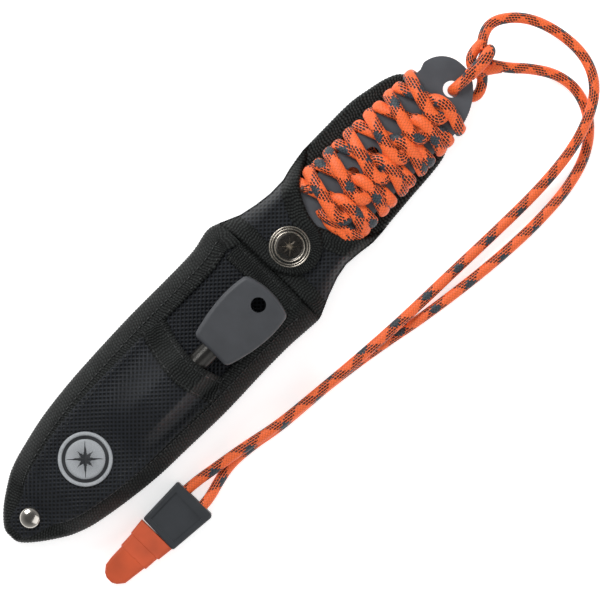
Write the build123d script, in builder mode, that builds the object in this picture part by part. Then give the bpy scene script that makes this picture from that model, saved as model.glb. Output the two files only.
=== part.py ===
"""Cord-wrapped fixed-blade knife in its belt sheath, with a fire starter and a whistle lanyard.

The sheath lies on its back with its belt loop on the floor. +Y runs from the blade's tip to the
pommel, +X is the spine's side, +Z is the sheath's front. Stations (x, y) are measured from the
centre of the tip rivet, and heights from the floor, in millimetres.
"""
from build123d import *
import math
import os

# ---------------------------------------------------------------- driving dimensions
RIVET_X = 1.1                  # tip rivet from the frame's origin
RIVET_Y = -112.8
LOOP_T = 1.8                   # belt-loop webbing
BELT_GAP = 4.8                 # clear height for a belt
BACK_LOW = LOOP_T + BELT_GAP   # back panel's rear face
BACK_T = 2.0
BACK_TOP = BACK_LOW + BACK_T
TAPE_T = 0.7                   # edge tape, one layer
TAPE_IN = 1.0                  # tape's fold outside the panels' cut edge
RIM_TOP = 10.4                 # panels pressed together under the edge tape
PANEL_T = 1.75                 # padded front panel
CAVITY_IN = 4.0                # hollow starts this far inside the outer edge
STEEL_LOW = 13.0
STEEL_T = 4.0
STEEL_TOP = STEEL_LOW + STEEL_T
BLADE_L, BLADE_R = -12.6, 11.6
LINER_WALL = 1.1
LINER_GAP = 0.35
POCKET_T = 1.0
ROD_R = 4.0
ROD_X = 4.3
ROD_END_Y = 62.0
ROD_END_Z = 24.7
FIRE_TILT = 2.6                # degrees, handle end up
HANDLE_T = 9.4
STRAP_T = 1.6
STRAP_LOW = STEEL_TOP + 0.3    # lower flap's underside
STRAP_HIGH = STRAP_LOW + STRAP_T + 0.3
HINGE_L = (-18.8, 14.0)        # x, z of the folds the flaps turn on
HINGE_R = (16.8, 14.0)
SNAP = (-1.3, 140.7)
SNAP_R = 7.8
RIVET_SHANK_R = 1.6
RIVET_HEAD_R = 3.9
WRAP_R = 1.6
WRAP_PITCH = 10.4
WRAP_TOP_Y = 217.5
WRAP_TURNS = 6
CORD_R = 2.1
WHISTLE_T = 10.4

TIP = Plane(origin=(RIVET_X, RIVET_Y, 0))
os.makedirs("parts", exist_ok=True)

# Pouch, station by station: y, outer edge left and right, tape's inner edge left and right,
# height of the front panel inside the tape.
POUCH = [
    (128.0, -26.2, 25.3, -15.6, 15.8, 20.2),
    (123.5, -27.5, 24.9, -15.6, 15.8, 20.2),
    (114.0, -25.7, 24.2, -15.5, 15.7, 20.2),
    (80.0, -25.8, 24.5, -15.5, 15.7, 20.2),
    (60.0, -25.3, 23.8, -15.5, 15.6, 20.2),
    (45.0, -24.5, 23.2, -15.2, 15.3, 20.2),
    (30.0, -22.8, 21.4, -14.0, 14.0, 20.2),
    (16.0, -19.8, 18.8, -11.2, 11.2, 20.0),
    (9.0, -17.7, 16.5, -9.0, 9.0, 16.2),
    (4.0, -15.2, 14.0, -6.0, 6.0, 13.4),
    (-4.0, -9.8, 8.4, -3.5, 3.5, 12.6),
    (-9.2, -4.4, 3.4, -1.6, 1.0, 11.6),
]
CAVITY = [row for row in POUCH if row[0] >= 16.0]
NECK_LEFT = [(-25.0, 131.0), (-22.5, 136.5), (-20.9, 143.5), (-20.0, 150.0), (-20.1, 157.0),
             (-21.4, 162.0), (-22.6, 170.0), (-22.8, 184.0), (-22.6, 195.0), (-21.3, 203.0),
             (-19.0, 212.0), (-15.5, 217.0)]
PANEL_END = [(-7.0, 219.6), (4.0, 219.0), (11.5, 214.5)]
NECK_RIGHT = [(15.5, 207.0), (17.0, 200.0), (18.0, 185.0), (18.8, 174.0), (19.5, 164.0),
              (18.5, 157.0), (17.9, 151.0), (19.0, 145.0), (21.5, 138.0), (24.8, 130.5)]


def point(x, y, z=0.0):
    """A station as a point in the frame."""
    return TIP.from_local_coords(Vector(x, y, z))


def across(y):
    """Plane square to the knife at a station: local x, then height."""
    return Plane(origin=point(0, y), x_dir=(1, 0, 0), z_dir=(0, -1, 0))


def along(x):
    """Plane along the knife at a distance from the rivet's line: local y, then height."""
    return Plane(origin=point(x, 0), x_dir=(0, 1, 0), z_dir=(1, 0, 0))


def save(name, part):
    """Label a finished piece and write it."""
    part.part.label = name
    export_step(part.part, f"parts/{name}.step")


def pouch_section(row, inset, low, rise, drop_in):
    """One cross-section of the pouch: upright rim, then the slope up to the panel's top."""
    y, left, right, tape_l, tape_r, top = row
    left, right = left + inset, right - inset
    tape_l, tape_r = tape_l + drop_in, tape_r - drop_in
    rim = RIM_TOP + rise
    with BuildSketch(across(y)) as section:
        with BuildLine():
            Polyline((left, low), (left, rim), (tape_l, top + rise), (tape_r, top + rise),
                     (right, rim), (right, low), close=True)
        make_face()
    return section.sketch


def pouch_block(rows, inset, low, rise, drop_in=0.0):
    """The pouch's whole shape, drawn in by an inset and raised by a thickness."""
    sections = [pouch_section(row, inset, low, rise, drop_in) for row in rows]
    with BuildPart() as block:
        loft(sections, ruled=True)
    return block.part


def side_points(inset):
    """Outline of the whole back panel, drawn in from the outer edge by an inset."""
    left = [(row[1] + inset, row[0]) for row in reversed(POUCH[:-1])]
    right = [(row[2] - inset, row[0]) for row in POUCH[:-1]]
    tip_y = POUCH[-1][0] + inset
    tip = [(POUCH[-1][2] - inset, tip_y), (POUCH[-1][1] + inset, tip_y)]
    neck_l = [(x + inset, y) for x, y in NECK_LEFT]
    neck_r = [(x - inset, y) for x, y in NECK_RIGHT]
    end = [(x, y - inset) for x, y in PANEL_END]
    return left + neck_l + end + neck_r + right + tip


def tape_prism(bottom_y):
    """Points of the area inside the tape's inner edge, down to a station."""
    rows = [row for row in POUCH if row[0] >= bottom_y]
    left = [(row[3], row[0]) for row in reversed(rows)]
    right = [(row[4], row[0]) for row in rows]
    return left + right


# ---------------------------------------------------------------- back panel and belt loop
with BuildPart() as back_panel:
    with BuildSketch(TIP.offset(BACK_LOW)):
        Polygon(*side_points(TAPE_IN), align=None)
    extrude(amount=BACK_T)
    with Locations(point(0, 0, BACK_TOP)):
        Hole(radius=RIVET_SHANK_R)
save("back_panel", back_panel)

LOOP_W = 26.0
LOOP_X = 0.0
LOOP_START, LOOP_END = 86.0, 182.0
SEWN = 14.0
with BuildPart() as belt_loop:
    with BuildSketch(along(LOOP_X)):
        with BuildLine():
            Polyline((LOOP_START, BACK_LOW), (LOOP_START, BACK_LOW - LOOP_T),
                     (LOOP_START + SEWN - 6, BACK_LOW - LOOP_T), (LOOP_START + SEWN, 0),
                     (LOOP_END - SEWN, 0), (LOOP_END - SEWN + 6, BACK_LOW - LOOP_T),
                     (LOOP_END, BACK_LOW - LOOP_T), (LOOP_END, BACK_LOW),
                     (LOOP_END - SEWN + 5, BACK_LOW), (LOOP_END - SEWN - 1, LOOP_T),
                     (LOOP_START + SEWN + 1, LOOP_T), (LOOP_START + SEWN - 5, BACK_LOW),
                     close=True)
        make_face()
    extrude(amount=LOOP_W / 2, both=True)
save("belt_loop", belt_loop)

TACK_T = 0.6
TACK_L, TACK_W = 7.0, 2.0
TACK_IN = 3.0                  # rows of tacks from the webbing's ends
with BuildPart() as belt_loop_bartacks:
    with BuildSketch(TIP.offset(BACK_LOW - LOOP_T - TACK_T)):
        for tack_y in (LOOP_START + TACK_IN, LOOP_END - TACK_IN):
            for tack_x in (-8.2, 0.0, 8.2):
                with Locations((LOOP_X + tack_x, tack_y)):
                    SlotOverall(TACK_L, TACK_W)
    extrude(amount=TACK_T)
save("belt_loop_bartacks", belt_loop_bartacks)

# Room for the belt loop under the edge tapes.
LOOP_ROOM = ((LOOP_X, (LOOP_START + LOOP_END) / 2), (LOOP_W + 0.6, LOOP_END - LOOP_START + 0.6))


# ---------------------------------------------------------------- pouch
inner_rows = POUCH[:-1] + [(POUCH[-1][0] + TAPE_IN,) + POUCH[-1][1:]]
hollow = pouch_block(CAVITY, CAVITY_IN, BACK_TOP - 0.1, 0.1 - PANEL_T, drop_in=0.9)
with BuildPart() as front_panel:
    add(pouch_block(inner_rows, TAPE_IN, BACK_TOP, 0.0))
    add(hollow, mode=Mode.SUBTRACT)
    with Locations(point(0, 0, BACK_TOP)):
        Hole(radius=RIVET_SHANK_R)
save("front_panel", front_panel)

panels = pouch_block(inner_rows, TAPE_IN, BACK_LOW, 0.0)
with BuildPart() as pouch_binding:
    add(pouch_block(POUCH, 0.0, BACK_LOW - TAPE_T, TAPE_T))
    add(panels, mode=Mode.SUBTRACT)
    with BuildSketch(TIP):
        Polygon(*tape_prism(4.0), align=None)
    extrude(amount=40, mode=Mode.SUBTRACT)
    with Locations(point(0, 0, BACK_TOP)):
        Hole(radius=RIVET_SHANK_R)
save("pouch_binding", pouch_binding)

# Soft pad under the blade guard, then the guard's two moulded halves.
PAD_LOW = BACK_TOP + 0.05
LINER_LOW = STEEL_LOW - LINER_GAP - LINER_WALL
LINER_MID = STEEL_LOW + STEEL_T / 2
LINER_TOP = STEEL_TOP + LINER_GAP - 0.1 + LINER_WALL
with BuildPart() as back_foam:
    with BuildSketch(TIP.offset(PAD_LOW)):
        Polygon((-16.5, 122), (-16.5, 48), (-9, 21), (9, 21), (15.5, 48), (15.5, 122), align=None)
    extrude(amount=LINER_LOW - 0.05 - PAD_LOW)
save("back_foam", back_foam)

MOUTH_Y = 122.0
blade_room = [(BLADE_L - LINER_GAP, MOUTH_Y + 1), (BLADE_L - LINER_GAP, 60), (-9.4, 42), (-1, 27),
              (5, 21.6), (9, 21.6), (BLADE_R + LINER_GAP, 45), (BLADE_R + LINER_GAP, MOUTH_Y + 1)]
liner_edge = [(BLADE_L - LINER_GAP - LINER_WALL, MOUTH_Y),
              (BLADE_L - LINER_GAP - LINER_WALL, 59.6), (-10.5, 41.2), (-2, 26), (4.4, 20.4),
              (9.7, 20.4), (BLADE_R + LINER_GAP + LINER_WALL, 44.8),
              (BLADE_R + LINER_GAP + LINER_WALL, MOUTH_Y)]
for name, low, high, room_low, room_high in (
        ("liner_back", LINER_LOW, LINER_MID, LINER_LOW + LINER_WALL, LINER_MID),
        ("liner_front", LINER_MID, LINER_TOP, LINER_MID, LINER_TOP - LINER_WALL)):
    with BuildPart() as liner_half:
        with BuildSketch(TIP.offset(low)):
            Polygon(*liner_edge, align=None)
        extrude(amount=high - low)
        with BuildSketch(TIP.offset(room_low)):
            Polygon(*blade_room, align=None)
        extrude(amount=room_high - room_low, mode=Mode.SUBTRACT)
    save(name, liner_half)


# ---------------------------------------------------------------- pocket for the fire starter
POCKET_LEFT, POCKET_RIGHT = -15.1, 15.2
POCKET_BASE = 20.2
TENT = [(88.0, 31.4), (60.0, 30.2), (45.0, 21.4)]    # station, height of the pocket's ridge


def tent_block(rows, base, rise, draw_in):
    """Pocket fabric pulled up over the rod: a closed shape on a base, raised by a thickness."""
    foot = POCKET_BASE + rise
    sections = []
    for y, ridge in rows:
        with BuildSketch(across(y)) as section:
            with BuildLine():
                Polyline((POCKET_LEFT + draw_in, base), (POCKET_LEFT + draw_in, foot),
                         (ROD_X - 4.6, ridge + rise), (ROD_X + 4.6, ridge + rise),
                         (POCKET_RIGHT - draw_in, foot), (POCKET_RIGHT - draw_in, base),
                         close=True)
            make_face()
        sections.append(section.sketch)
    with BuildPart() as block:
        loft(sections, ruled=True)
    return block.part


def flat_section(row, rise):
    """A cross-section of the pocket panel where it lies flat on the front panel."""
    y, _, _, tape_l, tape_r, top = row
    with BuildSketch(across(y)) as section:
        with BuildLine():
            Polyline((tape_l, top), (tape_l, top + rise), (tape_r, top + rise), (tape_r, top),
                     close=True)
        make_face()
    return section.sketch


low_rows = [row for row in POUCH if 4.0 <= row[0] <= 45.0]
with BuildPart() as pocket_panel:
    loft([flat_section(row, POCKET_T) for row in low_rows], ruled=True)
    add(tent_block(TENT, POCKET_BASE, POCKET_T, 0.0))
    inner_tent = [(88.5, TENT[0][1]), TENT[1], (47.0, 22.0)]
    add(tent_block(inner_tent, POCKET_BASE - 0.1, 0.0, 1.4), mode=Mode.SUBTRACT)
save("pocket_panel", pocket_panel)

HEM_LOW, HEM_TOP, HEM_T = 76.0, 88.0, 0.8


def ridge_at(y):
    """Height of the pocket's ridge between the mouth and the rod's end."""
    (top_y, top_z), (end_y, end_z) = TENT[0], TENT[1]
    return end_z + (top_z - end_z) * (y - end_y) / (top_y - end_y)


hem_rows = [(HEM_TOP, ridge_at(HEM_TOP)), (HEM_LOW, ridge_at(HEM_LOW))]
hem_cut = [(HEM_TOP + 0.5, ridge_at(HEM_TOP + 0.5)), (HEM_LOW - 0.5, ridge_at(HEM_LOW - 0.5))]
with BuildPart() as pocket_hem:
    add(tent_block(hem_rows, POCKET_BASE + POCKET_T, POCKET_T + HEM_T, 0.0))
    add(tent_block(hem_cut, POCKET_BASE, POCKET_T, 0.0), mode=Mode.SUBTRACT)
save("pocket_hem", pocket_hem)

EMBLEM = (-0.5, 30.5)
EMBLEM_R = 10.3
EMBLEM_T = 0.7
with BuildPart() as emblem:
    with BuildSketch(TIP.offset(POCKET_BASE + POCKET_T)):
        with Locations(EMBLEM):
            Circle(EMBLEM_R)
    extrude(amount=EMBLEM_T)
save("emblem", emblem)

# ---------------------------------------------------------------- tapes at the mouth and handle
with BuildPart() as mouth_binding:
    with BuildSketch(along(0)):
        with BuildLine():
            Polyline((121.2, POCKET_BASE), (121.2, POCKET_BASE + TAPE_T),
                     (129.0, POCKET_BASE + TAPE_T), (129.0, POCKET_BASE - PANEL_T),
                     (128.1, POCKET_BASE - PANEL_T), (128.1, POCKET_BASE), close=True)
        make_face()
    extrude(amount=15.3, both=True)
save("mouth_binding", mouth_binding)

NECK_Y = 128.2
TAPE_WIDE = 8.0
with BuildPart() as handle_binding:
    with BuildSketch(TIP.offset(BACK_LOW - TAPE_T)):
        Polygon((-26.0, NECK_Y), *NECK_LEFT, *PANEL_END, *NECK_RIGHT, (25.2, NECK_Y), align=None)
    extrude(amount=BACK_T + 2 * TAPE_T)
    with BuildSketch(TIP):
        Polygon((-17.0, 120), *[(x + TAPE_WIDE, y) for x, y in NECK_LEFT if y < 208],
                (-9.0, 209.5), (4.0, 211.0), *[(x - TAPE_WIDE, y) for x, y in NECK_RIGHT if y < 204],
                (17.0, 120), align=None)
    extrude(amount=40, mode=Mode.SUBTRACT)
    with BuildSketch(TIP.offset(BACK_LOW)):
        Polygon(*side_points(TAPE_IN), align=None)
    extrude(amount=BACK_T, mode=Mode.SUBTRACT)
    with BuildSketch(TIP):
        with Locations(LOOP_ROOM[0]):
            Rectangle(*LOOP_ROOM[1])
    extrude(amount=BACK_LOW, mode=Mode.SUBTRACT)
save("handle_binding", handle_binding)

# ---------------------------------------------------------------- tip rivet
RIVET_SEAT = 14.2
RIVET_FOOT = BACK_LOW - TAPE_T
with BuildPart() as tip_rivet_cap:
    with BuildSketch(TIP.offset(RIVET_SEAT)):
        Circle(RIVET_HEAD_R)
    extrude(amount=1.6)
    fillet(tip_rivet_cap.faces().sort_by(Axis.Z)[-1].edges(), 1.3)
save("tip_rivet_cap", tip_rivet_cap)

with BuildPart() as tip_rivet_post:
    with BuildSketch(TIP.offset(RIVET_FOOT)):
        Circle(RIVET_SHANK_R - 0.05)
    extrude(amount=RIVET_SEAT - RIVET_FOOT)
save("tip_rivet_post", tip_rivet_post)

with BuildPart() as tip_rivet_washer:
    with BuildSketch(TIP.offset(RIVET_FOOT - 0.8)):
        Circle(RIVET_HEAD_R)
    extrude(amount=0.8)
    chamfer(tip_rivet_washer.faces().sort_by(Axis.Z)[0].edges(), 0.35)
save("tip_rivet_washer", tip_rivet_washer)

# ---------------------------------------------------------------- retention straps
STRAP_TAPE = 6.5
ROOT_LOW = BACK_TOP + TAPE_T
ROOT_Y0, ROOT_Y1 = 130.0, 156.0
ROOT_GAP = 2.1                 # soft length below the fold, left free for the flap to turn
LEFT_PLAN = [(-22.0, 129.6), (-9.0, 129.8), (0.0, 130.4), (6.0, 134.0), (9.2, 138.0),
             (9.5, 143.0), (7.0, 148.0), (2.5, 151.2), (-5.0, 150.6), (-22.0, 157.0)]
RIGHT_PLAN = [(20.0, 129.6), (0.0, 130.2), (-5.0, 131.8), (-8.3, 136.0), (-9.0, 141.0),
              (-7.4, 146.0), (-3.0, 150.0), (1.0, 151.6), (8.0, 154.0), (20.0, 157.6)]
SIDES = {
    "left": (HINGE_L, 1, STRAP_HIGH, LEFT_PLAN, -15.8),
    "right": (HINGE_R, -1, STRAP_LOW, RIGHT_PLAN, 14.0),
}


def strap_block(side, skin, inset):
    """A flap: its bent cross-section thinned by a skin, cut to its plan drawn in by an inset."""
    (fold_x, fold_z), inward, low, plan, bend_x = SIDES[side]
    half = STRAP_T / 2 - skin
    high = low + STRAP_T - skin
    with BuildPart() as block:
        with BuildSketch(across(165.0)):
            with BuildLine():
                Polyline((fold_x - inward * half, fold_z + 0.9),
                         (bend_x - inward * (0.9 - skin), high), (bend_x + inward * 30, high),
                         (bend_x + inward * 30, low + skin),
                         (bend_x + inward * skin / 2, low + skin),
                         (fold_x + inward * half, fold_z + 0.6), close=True)
            make_face()
        extrude(amount=40)
        with BuildSketch(TIP):
            Polygon(*plan, align=None)
            offset(amount=-inset, kind=Kind.INTERSECTION)
        extrude(amount=40, mode=Mode.INTERSECT)
    return block.part


for side in SIDES:
    (fold_x, fold_z), inward, low, _, _ = SIDES[side]
    with BuildPart() as root:
        with BuildSketch(TIP.offset(ROOT_LOW)):
            with Locations((fold_x, (ROOT_Y0 + ROOT_Y1) / 2)):
                Rectangle(STRAP_T, ROOT_Y1 - ROOT_Y0)
        extrude(amount=fold_z - ROOT_GAP - ROOT_LOW)
    save(f"strap_{side}_root", root)

    snap_hole = 5.5 if side == "left" else 4.5
    with BuildPart() as flap:
        add(strap_block(side, 0.3, 0.6))
        with Locations(point(*SNAP, low)):
            Hole(radius=snap_hole)
    save(f"strap_{side}", flap)

    with BuildPart() as flap_tape:
        add(strap_block(side, 0.0, 0.0))
        add(strap_block(side, 0.0, STRAP_TAPE), mode=Mode.SUBTRACT)
        add(strap_block(side, 0.3, 0.6), mode=Mode.SUBTRACT)
        with Locations(point(*SNAP, low)):
            Hole(radius=snap_hole)
    save(f"strap_{side}_binding", flap_tape)

# ---------------------------------------------------------------- snap fastener
CAP_SEAT = STRAP_HIGH + STRAP_T
SNAP_AXIS = Axis(point(*SNAP), (0, 0, 1))


def turned(plane, profile):
    """A piece turned about the snap's axis from a half profile of (radius, height)."""
    with BuildPart() as piece:
        with BuildSketch(plane):
            Polygon(*profile, align=None)
        revolve(axis=SNAP_AXIS)
    return piece


snap_plane = Plane(origin=point(*SNAP), x_dir=(1, 0, 0), z_dir=(0, -1, 0))
snap_cap = turned(snap_plane, [
    (0, CAP_SEAT), (SNAP_R, CAP_SEAT), (SNAP_R, CAP_SEAT + 0.5), (7.3, CAP_SEAT + 1.0),
    (6.7, CAP_SEAT + 0.75), (6.0, CAP_SEAT + 1.2), (5.5, CAP_SEAT + 0.9), (4.0, CAP_SEAT + 1.5),
    (0, CAP_SEAT + 1.7)])
save("snap_cap", snap_cap)
snap_socket = turned(snap_plane, [
    (2.75, STRAP_HIGH - 0.05), (5.45, STRAP_HIGH - 0.05), (5.45, CAP_SEAT - 0.02),
    (0, CAP_SEAT - 0.02), (0, CAP_SEAT - 0.35), (2.75, CAP_SEAT - 0.35)])
save("snap_socket", snap_socket)
stud_base = STRAP_LOW + STRAP_T
snap_stud = turned(snap_plane, [
    (0, stud_base - 0.5), (4.45, stud_base - 0.5), (4.45, stud_base), (1.6, stud_base),
    (1.9, stud_base + 0.6), (1.6, stud_base + 1.0), (0, stud_base + 1.0)])
save("snap_stud", snap_stud)
snap_post = turned(snap_plane, [
    (0, STRAP_LOW), (4.45, STRAP_LOW), (4.45, stud_base - 0.55), (0, stud_base - 0.55)])
save("snap_post", snap_post)

# ---------------------------------------------------------------- fire starter
fire_tilt = Rotation(FIRE_TILT, 0, 0)
FIRE = Plane(Location(point(ROD_X, ROD_END_Y, ROD_END_Z)) * fire_tilt)
GRIP_LOW = 30.4
GRIP_CORNER = 2.4
GRIP_ROUND = 1.6
GRIP_HOLE = (1.3, 55.3)
GRIP_HOLE_R = 2.9
ROD_IN = 20.0
with BuildPart() as fire_starter_handle:
    with BuildSketch(FIRE.offset(-HANDLE_T / 2)) as grip:
        with BuildLine():
            Line((-8.0, GRIP_LOW), (8.7, GRIP_LOW))
            Spline((8.7, GRIP_LOW), (11.4, 39.5), (12.8, 50.0), (11.9, 59.6))
            ThreePointArc((11.9, 59.6), (1.2, 61.9), (-9.8, 59.6))
            Spline((-9.8, 59.6), (-10.9, 50.0), (-10.0, 39.5), (-8.0, GRIP_LOW))
        make_face()
        fillet(grip.vertices(), GRIP_CORNER)
    extrude(amount=HANDLE_T)
    rims = fire_starter_handle.faces().filter_by(FIRE).edges()
    fillet(rims, GRIP_ROUND)
    with Locations(FIRE.offset(HANDLE_T / 2)):
        with Locations(GRIP_HOLE):
            Hole(radius=GRIP_HOLE_R)
    with BuildSketch(Plane(origin=FIRE.from_local_coords(Vector(0, GRIP_LOW - 1, 0)),
                           x_dir=FIRE.x_dir, z_dir=FIRE.y_dir)):
        Circle(ROD_R)
    extrude(amount=ROD_IN + 1, mode=Mode.SUBTRACT)
save("fire_starter_handle", fire_starter_handle)

with BuildPart() as fire_starter_rod:
    with BuildSketch(Plane(origin=FIRE.origin, x_dir=FIRE.x_dir, z_dir=FIRE.y_dir)):
        Circle(ROD_R)
    extrude(amount=GRIP_LOW + ROD_IN)
    chamfer(fire_starter_rod.edges().filter_by(GeomType.CIRCLE), 0.6)
save("fire_starter_rod", fire_starter_rod)

# ---------------------------------------------------------------- knife
LANYARD_HOLE = (0.8, 225.4)
LANYARD_HOLE_R = 3.2
TANG_HOLES = [(-3.5, 187.5), (-3.5, 177.0)]
TANG_HOLE_R = 2.5
with BuildPart() as knife_steel:
    with BuildSketch(TIP.offset(STEEL_LOW)):
        with BuildLine():
            Spline((6.9, 22.4), (-2.0, 30.5), (-9.4, 45.0), (BLADE_L, 62.0))
            Polyline((BLADE_L, 62.0), (BLADE_L, 113.0), (-9.6, 117.5), (-9.6, 120.5),
                     (-15.2, 128.0), (-15.0, 131.5), (-12.6, 136.5), (-12.9, 165.0),
                     (-12.9, 219.5), (-12.6, 222.5), (-13.6, 225.3))
            ThreePointArc((-13.6, 225.3), (-10.6, 231.6), (-3.0, 234.8))
            ThreePointArc((-3.0, 234.8), (2.0, 234.2), (5.7, 232.0))
            Spline((5.7, 232.0), (10.0, 226.9), (12.9, 220.0), (13.0, 210.0))
            Polyline((13.0, 210.0), (12.7, 160.0), (12.7, 136.0), (BLADE_R, 130.0),
                     (BLADE_R, 46.0))
            Spline((BLADE_R, 46.0), (10.2, 33.0), (6.9, 22.4))
        make_face()
        with Locations(LANYARD_HOLE):
            Circle(LANYARD_HOLE_R, mode=Mode.SUBTRACT)
        with Locations(*TANG_HOLES):
            Circle(TANG_HOLE_R, mode=Mode.SUBTRACT)
    extrude(amount=STEEL_T)
    with BuildSketch(across(110.0)):
        for face_z, edge_z in ((STEEL_TOP + 0.1, STEEL_TOP - 1.65),
                               (STEEL_LOW - 0.1, STEEL_LOW + 1.65)):
            with BuildLine():
                Polyline((BLADE_L - 1, face_z), (BLADE_L - 1, edge_z), (-1.0, face_z), close=True)
            make_face()
    extrude(amount=95, mode=Mode.SUBTRACT)
save("knife_steel", knife_steel)


# ---------------------------------------------------------------- cords
def bend_radii(points):
    """Radius of each corner's arc: 0.45 of its shorter run over the tangent of half the turn."""
    radii = []
    for before, here, after in zip(points, points[1:], points[2:]):
        run_in, run_out = here - before, after - here
        turn = math.radians(run_in.get_angle(run_out))
        radii.append(0.45 * min(run_in.length, run_out.length) / math.tan(turn / 2))
    return radii


def cord_tube(name, stations, radius):
    """A cord along straight runs joined by tangent arcs, through hand-set stations."""
    points = [point(*station) for station in stations]
    radii = bend_radii(points)
    with BuildPart() as tube:
        with BuildLine() as path:
            FilletPolyline(*points, radius=radii)
        start = path.line @ 0
        with BuildSketch(Plane(origin=start, z_dir=path.line % 0)):
            Circle(radius)
        sweep()
    length = sum(edge.length for edge in path.line.edges())
    full = math.pi * radius ** 2 * length
    print(f"{name}: length {length:.0f}, least radius {min(radii):.1f}, "
          f"volume {tube.part.volume / full:.3f} of section times length")
    save(name, tube)


# Handle wrap: at every turn one half of the cord hooks in from the left edge and the other from
# the right, round each other, then both cross behind the steel to the opposite edge.
FRONT_LOW = STEEL_TOP + WRAP_R + 0.1
FRONT_HIGH = FRONT_LOW + 2 * WRAP_R + 0.2
BEHIND = STEEL_LOW - WRAP_R - 0.05
EDGE_Z = (STEEL_LOW + STEEL_TOP) / 2
LEFT_HOOK = [(-15.0, 0.6, EDGE_Z), (-13.2, 0.0, FRONT_LOW), (-8.5, -1.4, FRONT_HIGH - 0.1),
             (1.5, -4.6, FRONT_HIGH), (5.4, -4.0, FRONT_HIGH - 0.4), (6.0, -0.6, FRONT_LOW + 1.5),
             (1.6, 0.9, FRONT_LOW), (-12.6, -5.1, FRONT_LOW), (-15.0, -5.7, EDGE_Z),
             (-12.8, -6.2, BEHIND)]
RIGHT_HOOK = [(14.9, -1.0, EDGE_Z), (12.6, -0.4, FRONT_LOW), (8.0, 1.3, FRONT_LOW + 1.8),
              (2.6, 2.0, FRONT_HIGH), (-1.6, 0.4, FRONT_LOW + 2.0), (-1.4, -3.6, FRONT_LOW),
              (3.4, -6.6, FRONT_LOW + 0.2), (12.4, -6.6, FRONT_LOW), (14.9, -7.0, EDGE_Z),
              (12.6, -7.5, BEHIND)]
INTO_LEFT = (-12.8, 1.2, BEHIND)       # behind the left edge, before a left hook
INTO_RIGHT = (12.6, -0.4, BEHIND)


def wrap_route(first):
    """One half of the wrap cord, hooking left and right by turns, from the top downwards."""
    route = [(0.0, WRAP_TOP_Y + 2.4, BEHIND)]
    for turn in range(WRAP_TURNS):
        left = (turn + first) % 2 == 0
        shift = WRAP_TOP_Y - turn * WRAP_PITCH
        hook = [INTO_LEFT] + LEFT_HOOK if left else [INTO_RIGHT] + RIGHT_HOOK
        route += [(x, y + shift, z) for x, y, z in hook]
    last_x, last_y, last_z = route[-1]
    return route + [(last_x * 0.3, last_y - 1.6, last_z)]


cord_tube("wrap_strand_a", wrap_route(0), WRAP_R)
cord_tube("wrap_strand_b", wrap_route(1), WRAP_R)

# Lanyard: a loop through the pommel, its knot, and two strands lying out to the whistle.
KNOT = (1.6, 240.6, 15.2)
KNOT_R = 4.8
with BuildPart() as lanyard_knot:
    with BuildSketch(Plane(origin=point(*KNOT), x_dir=(0, 1, 0), z_dir=(1, 0, 0))):
        Ellipse(KNOT_R + 0.8, KNOT_R)
        with Locations((0, -KNOT_R)):
            Rectangle(4 * KNOT_R, 2 * KNOT_R, mode=Mode.SUBTRACT)
    revolve(axis=Axis(point(*KNOT), (0, 1, 0)))
save("lanyard_knot", lanyard_knot)

cord_tube("lanyard_loop", [
    (2.4, 236.6, 18.2), (1.9, 230.5, 19.7), (1.5, 225.6, 19.0), (1.4, 225.4, 10.9),
    (6.0, 227.0, 10.4), (9.6, 229.8, 10.8), (8.4, 234.6, 12.8), (5.2, 237.6, 14.4)], CORD_R - 0.1)
cord_tube("lanyard_left", [
    (-1.2, 243.6, 15.6), (-5.6, 248.6, 14.6), (-5.8, 256.0, 12.6), (2.0, 264.8, 10.2),
    (14.0, 269.3, 8.8), (28.0, 270.0, 8.9), (39.0, 264.5, 10.6), (45.6, 253.5, 10.8),
    (49.4, 240.0, 7.8), (50.8, 222.0, 3.8), (50.3, 200.0, 2.2), (49.3, 178.0, 2.4),
    (48.7, 161.0, 4.0), (48.0, 147.0, 6.9), (46.4, 126.0, 7.1), (44.4, 107.0, 6.9),
    (42.6, 90.0, 7.1), (39.0, 74.5, 6.9), (36.8, 62.0, 6.2), (35.2, 53.0, 5.5),
    (34.7, 47.0, 5.2), (34.8, 41.6, 5.2)], CORD_R)
cord_tube("lanyard_right", [
    (4.8, 242.4, 14.0), (10.0, 245.6, 11.6), (16.5, 252.0, 7.8), (25.5, 257.8, 4.4),
    (36.0, 259.0, 2.7), (47.0, 253.6, 2.2), (54.5, 243.5, 2.3), (58.2, 230.0, 2.2),
    (59.1, 212.0, 2.3), (58.0, 193.0, 2.2), (55.9, 175.0, 2.3), (52.9, 156.0, 2.2),
    (49.7, 141.0, 2.3), (47.2, 127.0, 2.2), (45.1, 112.0, 2.3), (44.1, 100.0, 2.2),
    (42.9, 88.0, 2.3), (40.6, 77.5, 2.3), (39.7, 66.5, 2.7), (41.3, 58.5, 3.8),
    (43.0, 52.5, 4.8), (43.4, 47.0, 5.2), (43.3, 41.6, 5.2)], CORD_R)

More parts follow.
